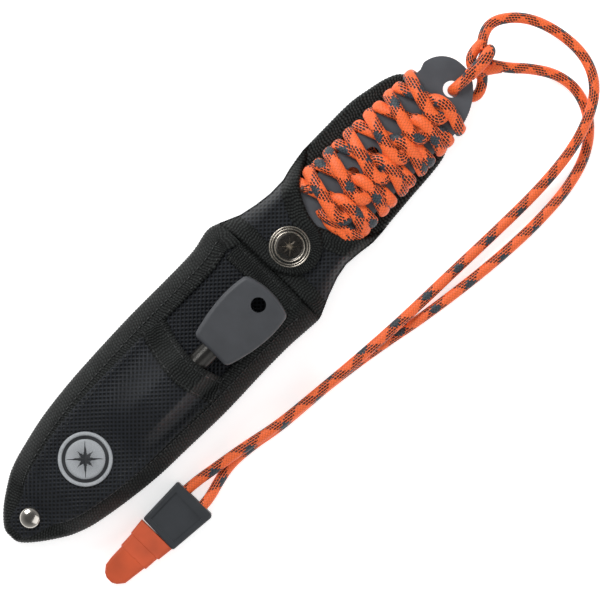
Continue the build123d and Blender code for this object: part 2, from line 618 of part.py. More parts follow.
# ---------------------------------------------------------------- whistle
with BuildPart() as whistle_body:
    with BuildSketch(TIP):
        Polygon((30.1, 48.3), (30.5, 29.2), (46.9, 28.5), (48.7, 47.4), (47.6, 48.4), align=None)
    extrude(amount=WHISTLE_T)
    fillet(whistle_body.edges().filter_by(Axis.Z), 0.9)
    fillet(whistle_body.faces().sort_by(Axis.Z)[-1].edges(), 0.8)
    with BuildSketch(TIP.offset(2.6)):
        with Locations((39.2, 46.0)):
            Rectangle(13.6, 9.0)
    extrude(amount=5.2, mode=Mode.SUBTRACT)
    with BuildSketch(TIP.offset(2.2)):
        with Locations((38.6, 33.0)):
            Rectangle(10.5, 7.0)
    extrude(amount=6.0, mode=Mode.SUBTRACT)
    with BuildSketch(TIP.offset(3.6)):
        with Locations((38.6, 33.2)):
            Rectangle(30.0, 3.4)
    extrude(amount=3.2, mode=Mode.SUBTRACT)
    with BuildSketch(TIP.offset(4.3)):
        with Locations((38.4, 28.0)):
            Rectangle(7.0, 5.0)
    extrude(amount=1.8, mode=Mode.SUBTRACT)
    with BuildSketch(TIP.offset(WHISTLE_T - 0.5)):
        Polygon((32.4, 44.8), (32.6, 31.2), (45.0, 30.8), (46.3, 44.4), align=None)
    extrude(amount=1.0, mode=Mode.SUBTRACT)
save("whistle_body", whistle_body)

MOUTHPIECE = [(28.5, 30.4, 46.4, 0.9), (22.3, 31.0, 45.6, 1.0), (22.0, 31.4, 45.0, 1.2),
              (16.3, 31.6, 44.6, 1.3), (16.0, 32.1, 44.0, 1.5), (10.0, 32.2, 43.2, 2.2),
              (7.0, 32.6, 42.8, 2.6), (4.6, 34.4, 40.8, 2.9), (3.6, 36.2, 39.2, 3.2)]
mouth_sections = []
for y, left, right, thin in MOUTHPIECE:
    with BuildSketch(Plane(origin=point((left + right) / 2, y, WHISTLE_T / 2),
                           x_dir=(1, 0, 0), z_dir=(0, -1, 0))) as ring:
        RectangleRounded(right - left, WHISTLE_T - 2 * thin, 1.2)
    mouth_sections.append(ring.sketch)
with BuildPart() as whistle_mouthpiece:
    loft(mouth_sections, ruled=True)
    with BuildSketch(Plane(origin=point(37.9, 30, 5.2), x_dir=(1, 0, 0), z_dir=(0, -1, 0))):
        Rectangle(5.0, 1.8)
    extrude(amount=40, mode=Mode.SUBTRACT)
save("whistle_mouthpiece", whistle_mouthpiece)
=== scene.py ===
# %% [markdown]
# # A cord-wrapped knife in its belt sheath
# The knife is one flat bar of steel with nylon cord wound round its handle. It sits in a belt
# sheath sewn from nylon cloth, with two snapped straps over the handle, a fire starter in a
# front pocket, and a cord lanyard that ends in a whistle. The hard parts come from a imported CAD
# model. The cloth, tapes, cords and finishes are made here.

# %% Load the frame
import math
import bpy
import numpy as np
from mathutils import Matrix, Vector


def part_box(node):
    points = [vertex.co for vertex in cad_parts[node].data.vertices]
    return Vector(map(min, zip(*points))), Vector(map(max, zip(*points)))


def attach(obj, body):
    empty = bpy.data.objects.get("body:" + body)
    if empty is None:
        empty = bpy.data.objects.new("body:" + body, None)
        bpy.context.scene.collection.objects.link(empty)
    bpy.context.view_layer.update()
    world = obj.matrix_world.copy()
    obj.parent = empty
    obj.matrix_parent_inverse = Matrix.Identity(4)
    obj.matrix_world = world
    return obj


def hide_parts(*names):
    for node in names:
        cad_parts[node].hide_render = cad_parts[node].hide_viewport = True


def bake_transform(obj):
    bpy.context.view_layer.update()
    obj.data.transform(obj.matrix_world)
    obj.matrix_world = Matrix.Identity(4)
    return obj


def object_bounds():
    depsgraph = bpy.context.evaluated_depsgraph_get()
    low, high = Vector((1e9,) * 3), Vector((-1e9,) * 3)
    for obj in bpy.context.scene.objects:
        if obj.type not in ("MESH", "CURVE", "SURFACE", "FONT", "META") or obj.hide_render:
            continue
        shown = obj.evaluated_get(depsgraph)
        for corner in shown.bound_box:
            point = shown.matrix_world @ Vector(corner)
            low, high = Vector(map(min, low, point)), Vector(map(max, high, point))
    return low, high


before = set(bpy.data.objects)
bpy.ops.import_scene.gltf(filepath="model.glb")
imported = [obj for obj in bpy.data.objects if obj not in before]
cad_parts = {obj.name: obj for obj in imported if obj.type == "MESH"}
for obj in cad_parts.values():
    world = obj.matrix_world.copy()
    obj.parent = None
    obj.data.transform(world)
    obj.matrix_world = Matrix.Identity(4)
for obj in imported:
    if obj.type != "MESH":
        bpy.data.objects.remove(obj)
cad_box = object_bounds()
print("CAD box in mm:", [[round(v * 1000, 1) for v in corner] for corner in cad_box])

# %% [markdown]
# Everything is placed from one real feature, the rivet at the sheath's tip. Distances are in
# millimetres from its centre: x to the lanyard's side, y towards the pommel, z up from the floor.

# %% Place things from the tip rivet
MM = 0.001
rivet_low, rivet_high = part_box("tip_rivet_cap")
RIVET = np.array([(rivet_low.x + rivet_high.x) / 2, (rivet_low.y + rivet_high.y) / 2, 0.0])


def at(x, y, z=0.0):
    """A point in the frame, from millimetres measured from the tip rivet."""
    return Vector((RIVET[0] + x * MM, RIVET[1] + y * MM, z * MM))


def metres(points):
    """An array of millimetre points, shaped (..., 3), as points in the frame."""
    return np.asarray(points, float) * MM + RIVET


print("rivet at", [round(v * 1000, 1) for v in RIVET], "mm")

# %% [markdown]
# The object is looked at from straight above, turned so that the knife runs from the lower left
# to the upper right. A long lens keeps the height of the handle from spreading outwards.

# %% Camera
VIEW_WIDTH = 225 * MM
VIEW_TURN = math.radians(44.3)
VIEW_CENTRE = (15.4, 129.2, 15.0)      # the view is VIEW_WIDTH wide at this height
LENS = 400.0
SENSOR = 36.0
camera_data = bpy.data.cameras.new("camera")
camera_data.lens = LENS
camera_data.sensor_width = SENSOR
camera = bpy.data.objects.new("camera", camera_data)
camera_height = VIEW_WIDTH * LENS / SENSOR
camera.location = at(*VIEW_CENTRE) + Vector((0, 0, camera_height))
camera.rotation_euler = (0, 0, VIEW_TURN)
camera_data.clip_end = 10.0
bpy.context.scene.collection.objects.link(camera)
bpy.context.scene.camera = camera
print(f"camera {camera_height * 1000:.0f} mm above the knife")

# %% [markdown]
# A mesh here is mostly a grid of points. Modifiers could make some of it, but a grid whose points
# are worked out has its ribs, braid and pits just where its UV counts them. Two builders cover
# nearly all of it: one sweeps a closed section along a line, for cords and tapes, and one makes a
# sheet with two faces.

# %% Mesh builders
CURVE_SAMPLES = 24         # points that a smooth line gets between two hand-set ones


def make_mesh(name, points, faces, corners=None):
    """An object from frame points and faces, with a UV value for each point used by a face."""
    mesh = bpy.data.meshes.new(name)
    mesh.from_pydata(np.asarray(points).reshape(-1, 3).tolist(), [], faces)
    if corners is not None:
        layer = mesh.uv_layers.new(name="UVMap")
        layer.data.foreach_set("uv", np.asarray(corners, np.float32).ravel())
    mesh.polygons.foreach_set("use_smooth", [True] * len(mesh.polygons))
    mesh.update()
    piece = bpy.data.objects.new(name, mesh)
    bpy.context.scene.collection.objects.link(piece)
    return piece


def swept(name, sections, pattern):
    """Sections (n, m, 3), each a closed ring, joined into one capped solid. The pattern holds
    a UV value for each ring point and one more that closes the ring: (n, m + 1, 2)."""
    n, m, _ = sections.shape
    i, j = np.meshgrid(np.arange(n - 1), np.arange(m), indexing="ij")
    k = (j + 1) % m
    faces = np.stack([i * m + j, i * m + k, (i + 1) * m + k, (i + 1) * m + j], -1).reshape(-1, 4)
    corners = np.stack([pattern[i, j], pattern[i, j + 1], pattern[i + 1, j + 1],
                        pattern[i + 1, j]], 2).reshape(-1, 2)
    first, last = list(range(m))[::-1], list(range((n - 1) * m, n * m))
    ends = [pattern[0, v] for v in first] + [pattern[-1, v - (n - 1) * m] for v in last]
    return make_mesh(name, sections, faces.tolist() + [first, last],
                     np.concatenate([corners, np.array(ends)]))


def sheet_mesh(name, top, bottom, pattern):
    """A closed sheet between two grids of points (n, m, 3), with a UV value for each point."""
    n, m, _ = top.shape
    index = np.arange(n * m).reshape(n, m)
    quads = np.stack([index[:-1, :-1], index[1:, :-1], index[1:, 1:], index[:-1, 1:]], -1)
    quads = quads.reshape(-1, 4)
    rim = np.concatenate([index[:-1, 0], index[-1, :-1], index[:0:-1, -1], index[0, :0:-1]])
    after = np.roll(rim, -1)
    sides = np.stack([rim, rim + n * m, after + n * m, after], -1)
    faces = np.concatenate([quads, quads[:, ::-1] + n * m, sides])
    flat = pattern.reshape(-1, 2)
    corners = flat[faces % (n * m)].reshape(-1, 2)
    return make_mesh(name, np.concatenate([top.reshape(-1, 3), bottom.reshape(-1, 3)]),
                     faces.tolist(), corners)


def evenly(points, step):
    """A line of points taken at even distances, about a step apart."""
    points = np.asarray(points, float)
    run = np.concatenate([[0], np.cumsum(np.linalg.norm(np.diff(points, axis=0), axis=1))])
    count = max(2, int(round(run[-1] / step)) + 1)
    wanted = np.linspace(0, run[-1], count)
    return np.stack([np.interp(wanted, run, points[:, c]) for c in range(points.shape[1])], 1)


def curve_through(points, step):
    """A smooth Catmull-Rom line through hand-set points, taken at even distances."""
    points = np.asarray(points, float)
    padded = np.vstack([2 * points[0] - points[1], points, 2 * points[-1] - points[-2]])
    t = np.linspace(0, 1, CURVE_SAMPLES, endpoint=False)[:, None]
    pieces = []
    for a, b, c, d in zip(padded, padded[1:], padded[2:], padded[3:]):
        pieces.append(0.5 * (2 * b + (c - a) * t + (2 * a - 5 * b + 4 * c - d) * t ** 2
                             + (3 * b - a - 3 * c + d) * t ** 3))
    return evenly(np.vstack(pieces + [points[-1:]]), step)


print("mesh builders ready")

# %% [markdown]
# The cord is 550 cord: a braided nylon sheath about 4.2 mm across over a soft core. A NURBS spline
# with a few given control points gives a line as smooth as a real cord's. Blender could bevel
# that curve into a plain tube. Here the tube is built point by point, so that the braid is raised
# on it and its UV counts the yarns.

# %% Braided cords
CORD_D = 4.2
BRAID_CELL = 1.25          # length of one braid cell along the cord
BRAID_ROUND = 8            # yarn crossings round the cord, an even number
BRAID_RISE = 0.08
BRAID_MIDDLE = 0.8         # the braid's height that keeps the cord's nominal width
TRACER_REPEAT = 15.5       # length of cord in which a dark yarn goes once round it
TUBE_STEP = 0.42
TUBE_SIDES = 32


def spline_points(route):
    """Points along a NURBS spline whose control points are the route's, in the frame."""
    curve = bpy.data.curves.new("route", "CURVE")
    curve.dimensions = "3D"
    spline = curve.splines.new("NURBS")
    spline.points.add(len(route) - 1)
    for control, place in zip(spline.points, route):
        control.co = (*place, 1.0)
    spline.order_u = 3
    spline.use_endpoint_u = True
    spline.resolution_u = CURVE_SAMPLES
    holder = bpy.data.objects.new("route", curve)
    line_mesh = bpy.data.meshes.new_from_object(holder)
    line = np.array([v.co for v in line_mesh.vertices])
    bpy.data.objects.remove(holder)
    bpy.data.curves.remove(curve)
    bpy.data.meshes.remove(line_mesh)
    return line


def braid_height(a, b):
    """Height of a braid, from 0 to 1, on its two families of yarns, which pass over in turn."""
    over = (np.floor(a) + np.floor(b)) % 2 > 0.5
    crown = np.where(over, np.abs(np.sin(np.pi * a)), np.abs(np.sin(np.pi * b)))
    return crown ** 0.7


def braided_tube(name, line, wide, thick, outward, start=0.0):
    """A braided cord along a line in metres, wide and thick in mm, flat side facing outward.
    Start is the place in the colour pattern, in mm, where this piece of cord begins."""
    line = evenly(line, TUBE_STEP * MM)
    tangent = np.gradient(line, axis=0)
    tangent /= np.linalg.norm(tangent, axis=1)[:, None]
    face = outward(line)
    face = face - (face * tangent).sum(1)[:, None] * tangent
    face /= np.linalg.norm(face, axis=1)[:, None]
    side = np.cross(tangent, face)
    run = np.arange(len(line)) * np.linalg.norm(line[1] - line[0]) / MM + start
    turn = np.arange(TUBE_SIDES + 1) / TUBE_SIDES
    along, around = np.meshgrid(run / BRAID_CELL, turn * BRAID_ROUND, indexing="ij")
    pattern = np.stack([along + around, along - around], -1)
    rise = braid_height(pattern[:, :-1, 0], pattern[:, :-1, 1])[..., None] - BRAID_MIDDLE
    rise *= BRAID_RISE
    angle = 2 * np.pi * turn[:-1]
    ring = (np.cos(angle)[None, :, None] * side[:, None] * (wide / 2 + rise)
            + np.sin(angle)[None, :, None] * face[:, None] * (thick / 2 + rise))
    return swept(name, line[:, None] + ring * MM, pattern)


print(f"{BRAID_ROUND} crossings round a {CORD_D} mm cord")

# %% [markdown]
# Each strand of the lanyard is a fixed length that leaves the knot at the pommel, lies out on the
# table in a loose loop and ends in the whistle. A third, short piece is the loop through the
# pommel's hole. Its routes are listed point by point, because a real cord was laid by hand too.

# %% Lanyard
ROLL = 5.0                 # how far a loosely laid strand turns about itself, in radians


def rolling(line):
    """A direction square to a lying cord that turns slowly along it, as a real cord is laid."""
    run = np.linspace(0, 1, len(line)) * ROLL
    return np.stack([np.sin(run), np.cos(run) * 0.5, np.full(len(line), 1.2)], 1)


KNOT = (1.6, 240.6, 15.2)
LOOP_ROUTE = [(2.4, 236.6, 18.2), (1.9, 230.5, 19.7), (1.5, 225.6, 19.0), (1.4, 225.4, 10.9),
              (6.0, 227.0, 10.4), (9.6, 229.8, 10.8), (8.4, 234.6, 12.8), (5.2, 237.6, 14.4)]
LEFT_ROUTE = [(-1.2, 243.6, 15.6), (-5.6, 248.6, 14.6), (-5.8, 256.0, 12.6), (2.0, 264.8, 10.2),
              (14.0, 269.3, 8.8), (28.0, 270.0, 8.9), (39.0, 264.5, 10.6), (45.6, 253.5, 10.8),
              (49.4, 240.0, 7.8), (50.8, 222.0, 3.8), (50.3, 200.0, 2.2), (49.3, 178.0, 2.4),
              (48.7, 161.0, 4.0), (48.0, 147.0, 6.9), (46.4, 126.0, 7.1), (44.4, 107.0, 6.9),
              (42.6, 90.0, 7.1), (39.0, 74.5, 6.9), (36.8, 62.0, 6.2), (35.2, 53.0, 5.5),
              (34.7, 47.0, 5.2), (34.8, 41.6, 5.2)]
RIGHT_ROUTE = [(4.8, 242.4, 14.0), (10.0, 245.6, 11.6), (16.5, 252.0, 7.8), (25.5, 257.8, 4.4),
               (36.0, 259.0, 2.7), (47.0, 253.6, 2.2), (54.5, 243.5, 2.3), (58.2, 230.0, 2.2),
               (59.1, 212.0, 2.3), (58.0, 193.0, 2.2), (55.9, 175.0, 2.3), (52.9, 156.0, 2.2),
               (49.7, 141.0, 2.3), (47.2, 127.0, 2.2), (45.1, 112.0, 2.3), (44.1, 100.0, 2.2),
               (42.9, 88.0, 2.3), (40.6, 77.5, 2.3), (39.7, 66.5, 2.7), (41.3, 58.5, 3.8),
               (43.0, 52.5, 4.8), (43.4, 47.0, 5.2), (43.3, 41.6, 5.2)]


def lanyard_strand(name, route, start):
    """One strand of the lanyard along its listed route. Returns the piece and its line."""
    line = spline_points([at(*place) for place in route])
    piece = braided_tube(name, line, CORD_D - 0.1, CORD_D - 0.1, rolling, start)
    length = np.linalg.norm(np.diff(line, axis=0), axis=1).sum()
    print(f"{name}: {length * 1000:.0f} mm of cord")
    return piece, line, length


cord_left, line_left, long_left = lanyard_strand("cord_left", LEFT_ROUTE, 3.0)
cord_right, line_right, long_right = lanyard_strand("cord_right", RIGHT_ROUTE, 11.0)
cord_loop, line_loop, long_loop = lanyard_strand("cord_loop", LOOP_ROUTE, 0.0)

# %% [markdown]
# The knot joins the loop to both strands. The loop's end rises from the hole, passes over the
# strands and turns down behind them, and under it the strands meet in a short U. A real knot holds
# more cord inside. Only what can be seen from outside is made.

# %% Lanyard knot
KNOT_ROUTE = [(2.1, 233.6, 20.4), (2.2, 237.4, 21.6), (2.1, 241.4, 21.6), (1.5, 245.0, 19.8),
              (0.4, 246.0, 16.6), (0.8, 243.6, 12.6), (3.4, 239.6, 11.4), (6.2, 236.4, 12.6)]
UNDER_ROUTE = [(-3.2, 246.6, 15.0), (-3.3, 242.6, 15.8), (-2.3, 238.8, 16.6), (0.6, 236.6, 16.8),
               (4.0, 237.4, 16.4), (5.8, 240.4, 15.2), (8.4, 244.0, 12.8)]


def from_knot(line):
    """Direction away from the knot's own axis."""
    return line - np.array(at(*KNOT)) * [1, 0, 1] - line * [0, 1, 0]


knot_line = spline_points([at(*place) for place in KNOT_ROUTE])
cord_knot = braided_tube("cord_knot", knot_line, CORD_D + 0.6, CORD_D - 0.5, from_knot, 6.0)
under_line = spline_points([at(*place) for place in UNDER_ROUTE])
cord_under = braided_tube("cord_knot_under", under_line, CORD_D, CORD_D - 0.3, from_knot, 0.0)

for piece, node_name in ((cord_left, "lanyard_left"), (cord_right, "lanyard_right"),
                         (cord_loop, "lanyard_loop"), (cord_knot, "lanyard_knot"),
                         (cord_under, "lanyard_knot")):
    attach(piece, "knife")
    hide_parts(node_name)
print(f"lanyard of {(long_left + long_right + long_loop) * 1000:.0f} mm outside its knot")

# %% [markdown]
# The handle is wound with the same cord, pulled so tight that it lies flat. At every turn one
# end hooks in from the left edge and the other from the right, round each other in the middle,
# and both cross behind the steel to change sides. Every turn repeats the last one lower down, so
# one hook for each side is listed and a loop shifts it down the handle, which widens.

# %% Handle wrap
WRAP_WIDE = 4.9
WRAP_THICK = 2.9
WRAP_TOP_Y = 217.5
WRAP_PITCH = 10.4
WRAP_TURNS = 6
STEEL_MID = (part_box("knife_steel")[0].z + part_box("knife_steel")[1].z) / 2 / MM
FRONT_LOW, FRONT_HIGH, BEHIND = STEEL_MID + 3.7, STEEL_MID + 7.1, STEEL_MID - 3.65
LEFT_HOOK = [(-15.0, 0.6, STEEL_MID), (-13.2, 0.0, FRONT_LOW), (-8.5, -1.4, FRONT_HIGH - 0.1),
             (1.5, -4.6, FRONT_HIGH), (5.4, -4.0, FRONT_HIGH - 0.4), (6.0, -0.6, FRONT_LOW + 1.5),
             (1.6, 0.9, FRONT_LOW), (-12.6, -5.1, FRONT_LOW), (-15.0, -5.7, STEEL_MID),
             (-12.8, -6.2, BEHIND)]
RIGHT_HOOK = [(14.9, -1.0, STEEL_MID), (12.6, -0.4, FRONT_LOW), (8.0, 1.3, FRONT_LOW + 1.8),
              (2.6, 2.0, FRONT_HIGH), (-1.6, 0.4, FRONT_LOW + 2.0), (-1.4, -3.6, FRONT_LOW),
              (3.4, -6.6, FRONT_LOW + 0.2), (12.4, -6.6, FRONT_LOW), (14.9, -7.0, STEEL_MID),
              (12.6, -7.5, BEHIND)]
INTO_LEFT, INTO_RIGHT = (-12.8, 1.2, BEHIND), (12.6, -0.4, BEHIND)
SPREAD_LEFT, SPREAD_RIGHT = 0.14, 0.05      # how much wider the handle is at the last turn


def wrap_route(first):
    """One end of the wrap cord, hooking left and right by turns, from the pommel downwards."""
    route = [(0.0, WRAP_TOP_Y + 2.4, BEHIND)]
    for turn in range(WRAP_TURNS):
        left = (turn + first) % 2 == 0
        hook = [INTO_LEFT] + LEFT_HOOK if left else [INTO_RIGHT] + RIGHT_HOOK
        shift = WRAP_TOP_Y - turn * WRAP_PITCH
        spread = 1 + (SPREAD_LEFT if left else SPREAD_RIGHT) * turn / (WRAP_TURNS - 1)
        route += [(x * spread, y + shift, z) for x, y, z in hook]
    x, y, z = route[-1]
    return route + [(x * 0.3, y - 1.6, z)]


def from_steel(line):
    """Direction away from the flat bar that the cord is wound on."""
    middle = at(0, 0, STEEL_MID)
    return (line - np.array(middle)) * [0.3, 0, 1]


wraps = []
for letter, first in (("a", 0), ("b", 1)):
    wrap_line = spline_points([at(*place) for place in wrap_route(first)])
    wrap = braided_tube(f"cord_wrap_{letter}", wrap_line, WRAP_WIDE, WRAP_THICK, from_steel,
                        first * 9)
    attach(wrap, "knife")
    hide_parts(f"wrap_strand_{letter}")
    wraps.append(wrap)
    print(wrap.name, len(wrap.data.polygons), "faces")

# %% [markdown]
# Below the last turn both ends of the cord make one more flat pass and are tucked under the
# turns before. On the left the cut end shows, melted to a hard brown bead.

# %% Ends of the wrap
WRAP_ENDS = {
    "right": [(13.2, 163.0, BEHIND), (15.8, 162.0, STEEL_MID), (13.4, 161.2, FRONT_LOW + 0.3),
              (6.0, 159.4, FRONT_LOW + 0.9), (-0.8, 157.6, FRONT_LOW + 0.4),
              (-2.6, 158.6, FRONT_LOW - 0.6)],
    "low": [(13.6, 161.0, STEEL_MID), (12.0, 159.0, FRONT_LOW - 0.5),
            (7.0, 157.7, FRONT_LOW - 0.1), (3.0, 157.0, FRONT_LOW - 0.4),
            (0.6, 158.2, FRONT_LOW - 1.0)],
    "left": [(-7.6, 164.2, FRONT_LOW + 0.4), (-10.4, 162.0, FRONT_LOW + 0.3),
             (-12.6, 160.2, FRONT_LOW)]}
END_WIDE, END_THICK = 3.9, 2.7
wrap_ends = []
for name, route in WRAP_ENDS.items():
    end_line = spline_points([at(*place) for place in route])
    wrap_ends.append(braided_tube(f"cord_wrap_end_{name}", end_line, END_WIDE, END_THICK,
                                  from_steel, 7.0))
    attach(wrap_ends[-1], "knife")

BEAD_AT = (-12.9, 159.6, FRONT_LOW + 0.1)
BEAD_R = 1.6
BEAD_LONG, BEAD_FLAT = 0.7, 0.9        # its length and height, as shares of its width
BEAD_SIDES, BEAD_RINGS = 16, 11
bead_turn = np.arange(BEAD_SIDES + 1) / BEAD_SIDES * 2 * np.pi
bead_rings = []
for k in range(1, BEAD_RINGS + 1):
    tilt = math.pi * k / (BEAD_RINGS + 1)
    r = BEAD_R * math.sin(tilt) * (1 + 0.1 * np.sin(3 * bead_turn[:-1] + k))
    bead_rings.append(np.column_stack([
        np.full(BEAD_SIDES, BEAD_AT[0] + BEAD_LONG * BEAD_R * math.cos(tilt)),
        BEAD_AT[1] + r * np.cos(bead_turn[:-1]),
        BEAD_AT[2] + BEAD_FLAT * r * np.sin(bead_turn[:-1])]))
bead_uv = np.stack([np.column_stack([bead_turn, np.full(BEAD_SIDES + 1, float(k))])
                    for k in range(BEAD_RINGS)])
wrap_bead = swept("melted_end", metres(np.array(bead_rings)), bead_uv)
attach(wrap_bead, "knife")
print(len(wrap_ends), "ends and one melted bead")

# %% [markdown]
# Every finish is a Principled shader with a few procedural nodes. One function turns sRGB hex
# colours into the linear values that Blender's sockets take, and one adds a node with its
# settings and links. A pattern's scale is worked out from a real size in millimetres, and so is
# the depth of a bump, whose height runs from 0 to 1.

# %% Colour and node tools


def srgb(text):
    """An sRGB hex colour as linear values for a colour socket."""
    parts = [int(text[i:i + 2], 16) / 255 for i in (0, 2, 4)]
    return [((c + 0.055) / 1.055) ** 2.4 if c > 0.04045 else c / 12.92 for c in parts] + [1.0]


def add(tree, kind, inputs=None, to=None, stops=(), **settings):
    """Add a node with its settings and links. An input is a value, an output socket, or a node
    whose first output is meant. The node's own first output feeds the socket to. Stops are the
    (place, hex colour) pairs of a colour ramp."""
    made = tree.nodes.new(kind)
    for key, value in settings.items():
        setattr(made, key, value)
    for socket, value in (inputs or {}).items():
        if isinstance(value, bpy.types.Node):
            value = value.outputs[0]
        if isinstance(value, bpy.types.NodeSocket):
            tree.links.new(value, made.inputs[socket])
        else:
            made.inputs[socket].default_value = value
    for k, (place, colour) in enumerate(stops):
        elements = made.color_ramp.elements
        stop = elements[k] if k < len(elements) else elements.new(place)
        stop.position, stop.color = place, srgb(colour)
    if to is not None:
        tree.links.new(made.outputs[0], to)
    return made


def start_material(name, colour, roughness, metallic=0.0, **constants):
    """A material with one Principled shader. Constants are set on the shader's own sockets."""
    material = bpy.data.materials.new(name)
    material.use_nodes = True
    tree = material.node_tree
    shader = tree.nodes["Principled BSDF"]
    shader.inputs["Base Color"].default_value = srgb(colour)
    shader.inputs["Roughness"].default_value = roughness
    shader.inputs["Metallic"].default_value = metallic
    for socket, value in constants.items():
        shader.inputs[socket.replace("_", " ")].default_value = value
    return material, tree, shader


WAVE_ONCE = 2 * math.pi / 20      # a Wave texture's scale for one wave per unit of its vector
PER_METRE = 1 / MM                # divided by a grain in mm, this is a Noise texture's scale
print("material tools ready")

# %% [markdown]
# Ballistic nylon is a plain weave of thick, slightly shiny yarns. What the eye reads is the
# staggered rows of small dark pits where four yarns meet, about 1.5 mm apart. A bump alone would
# look flat from the side, so the mesh holds the same pits. Its UV counts them, so the colour and
# the shape agree: the colour is painted shade in the pits and painted highlight on the yarns'
# crowns.

# %% Nylon cloth
PIT_X, PIT_Y = 2.05, 2.2          # pits repeat this far apart along x and y, in mm


def weave_pattern(x, y):
    """UV of the weave at a place in mm: whole numbers are pits."""
    return np.stack([x / PIT_X + y / PIT_Y, x / PIT_X - y / PIT_Y], -1)


def weave_height(pattern):
    """Height of the weave, from 0 in a pit to 1 on a yarn."""
    crown = 0.5 - 0.5 * np.cos(2 * np.pi * pattern)
    return np.maximum(crown[..., 0], crown[..., 1]) ** 0.6


def make_nylon(name, light, dark, pit):
    """Woven nylon with its yarns' sheen, painted shade in its pits, painted lighter yarn crowns and
    a little uneven dye.
    """
    material, tree, shader = start_material(name, light, 0.5, Sheen_Weight=0.03,
                                            Sheen_Roughness=0.4, Specular_IOR_Level=0.2)
    uv = add(tree, "ShaderNodeUVMap")
    one, other = [add(tree, "ShaderNodeTexWave", {"Vector": uv, "Scale": WAVE_ONCE},
                      bands_direction=axis).outputs["Fac"] for axis in "XY"]
    weave = add(tree, "ShaderNodeMath", {0: one, 1: other}, operation="MAXIMUM")
    place = add(tree, "ShaderNodeTexCoord").outputs["Object"]
    fibre = add(tree, "ShaderNodeTexNoise", {"Vector": place, "Scale": PER_METRE / 0.35,
                                             "Detail": 3.0})
    wear = add(tree, "ShaderNodeTexNoise", {"Vector": place, "Scale": PER_METRE / 14})
    # The ramp is painted shade: near black in the pits, lighter towards the yarns' crowns.
    shade = add(tree, "ShaderNodeValToRGB", {0: weave},
                stops=((0.2, pit), (0.55, dark), (0.95, light)))
    spread = add(tree, "ShaderNodeMath", {0: fibre, 1: wear}, operation="ADD")
    value = add(tree, "ShaderNodeMapRange", {0: spread, 1: 0.7, 2: 1.3, 3: 0.72, 4: 1.3})
    add(tree, "ShaderNodeHueSaturation", {"Color": shade, "Value": value},
        to=shader.inputs["Base Color"])
    height = add(tree, "ShaderNodeMath", {0: fibre, 1: 0.35, 2: weave}, operation="MULTIPLY_ADD")
    add(tree, "ShaderNodeBump", {"Height": height, "Distance": 0.12 * MM},
        to=shader.inputs["Normal"])
    return material


# The second and third colours are painted shade for the yarns' sides and the pits.
nylon_cloth = make_nylon("woven ballistic nylon", "202328", "0d0f12", "010202")
print(nylon_cloth.name)

# %% [markdown]
# The edges are bound with grosgrain, a ribbed nylon tape. Its ribs run square to the edge, about
# 1 mm apart, over fine threads that run with it. The UV counts the ribs one way and gives
# millimetres the other way.

# %% Grosgrain tape
THREAD_PITCH = 1.1         # mm between the threads that tie down a rib


def make_grosgrain(name, light, dark, gap_shade):
    """Ribbed tape: each rib painted lighter on its crown and darker in the gaps, a painted
    highlight and painted shade, with fine threads between the ribs.
    """
    material, tree, shader = start_material(name, light, 0.6, Sheen_Weight=0.02,
                                            Sheen_Roughness=0.5, Specular_IOR_Level=0.14)
    uv = add(tree, "ShaderNodeUVMap")
    place = add(tree, "ShaderNodeTexCoord").outputs["Object"]
    rib = add(tree, "ShaderNodeTexWave", {"Vector": uv, "Scale": WAVE_ONCE, "Distortion": 1.6,
                                          "Detail Scale": 2.0}, bands_direction="X").outputs["Fac"]
    across, along = add(tree, "ShaderNodeSeparateXYZ", {0: uv}).outputs[:2]
    which = add(tree, "ShaderNodeMath", {0: across}, operation="FLOOR")
    shift = add(tree, "ShaderNodeMath", {0: which, 1: THREAD_PITCH / 2, 2: along},
                operation="MULTIPLY_ADD")
    moved = add(tree, "ShaderNodeCombineXYZ", {0: across, 1: shift})
    thread = add(tree, "ShaderNodeTexWave", {"Vector": moved, "Distortion": 1.5,
                                             "Scale": WAVE_ONCE / THREAD_PITCH},
                 bands_direction="Y").outputs["Fac"]
    fibre = add(tree, "ShaderNodeTexNoise", {"Vector": place, "Scale": PER_METRE / 0.4,
                                             "Detail": 4.0})
    patch = add(tree, "ShaderNodeTexNoise", {"Vector": place, "Scale": PER_METRE / 5})
    mixed = add(tree, "ShaderNodeMath", {0: thread, 1: 0.7, 2: rib}, operation="MULTIPLY_ADD")
    level = add(tree, "ShaderNodeMath", {0: mixed, 1: 0.6}, operation="MULTIPLY")
    # The ramp paints shade between the ribs and threads, and a painted highlight on their crowns.
    shade = add(tree, "ShaderNodeValToRGB", {0: level},
                stops=((0.1, gap_shade), (0.45, dark), (0.9, light)))
    spread = add(tree, "ShaderNodeMath", {0: fibre, 1: patch}, operation="ADD")
    value = add(tree, "ShaderNodeMapRange", {0: spread, 1: 0.7, 2: 1.3, 3: 0.6, 4: 1.4})
    add(tree, "ShaderNodeHueSaturation", {"Color": shade, "Value": value},
        to=shader.inputs["Base Color"])
    height = add(tree, "ShaderNodeMath", {0: fibre, 1: 0.5, 2: mixed}, operation="MULTIPLY_ADD")
    add(tree, "ShaderNodeBump", {"Height": height, "Distance": 0.09 * MM},
        to=shader.inputs["Normal"])
    return material


# Each tape's last colour is painted shade in the gaps between its ribs.
edge_tape = make_grosgrain("nylon grosgrain tape", "282b2a", "101211", "020202")
# This copy of the tape is painted paler, a painted light for the flat tape round the handle.
painted_bright_tape = make_grosgrain("nylon grosgrain tape, rubbed", "3a3d3c", "1c1f1e", "050505")
loop_webbing = make_grosgrain("woven nylon webbing", "262929", "171919", "050606")
print(edge_tape.name, painted_bright_tape.name, "and", loop_webbing.name)

# %% [markdown]
# Braided nylon cord is orange with a few dark tracer yarns. The UV counts the two families of
# yarns, which pass over and under each other by turns, so a checker of whole numbers says which
# family is on top. Each family carries its tracers round the cord in one slow helix. A helix shows
# as short rows of dark dashes, and where the two helices cross the cord is solid dark. A real
# dash is about half as long. It is drawn coarser so that it shows.

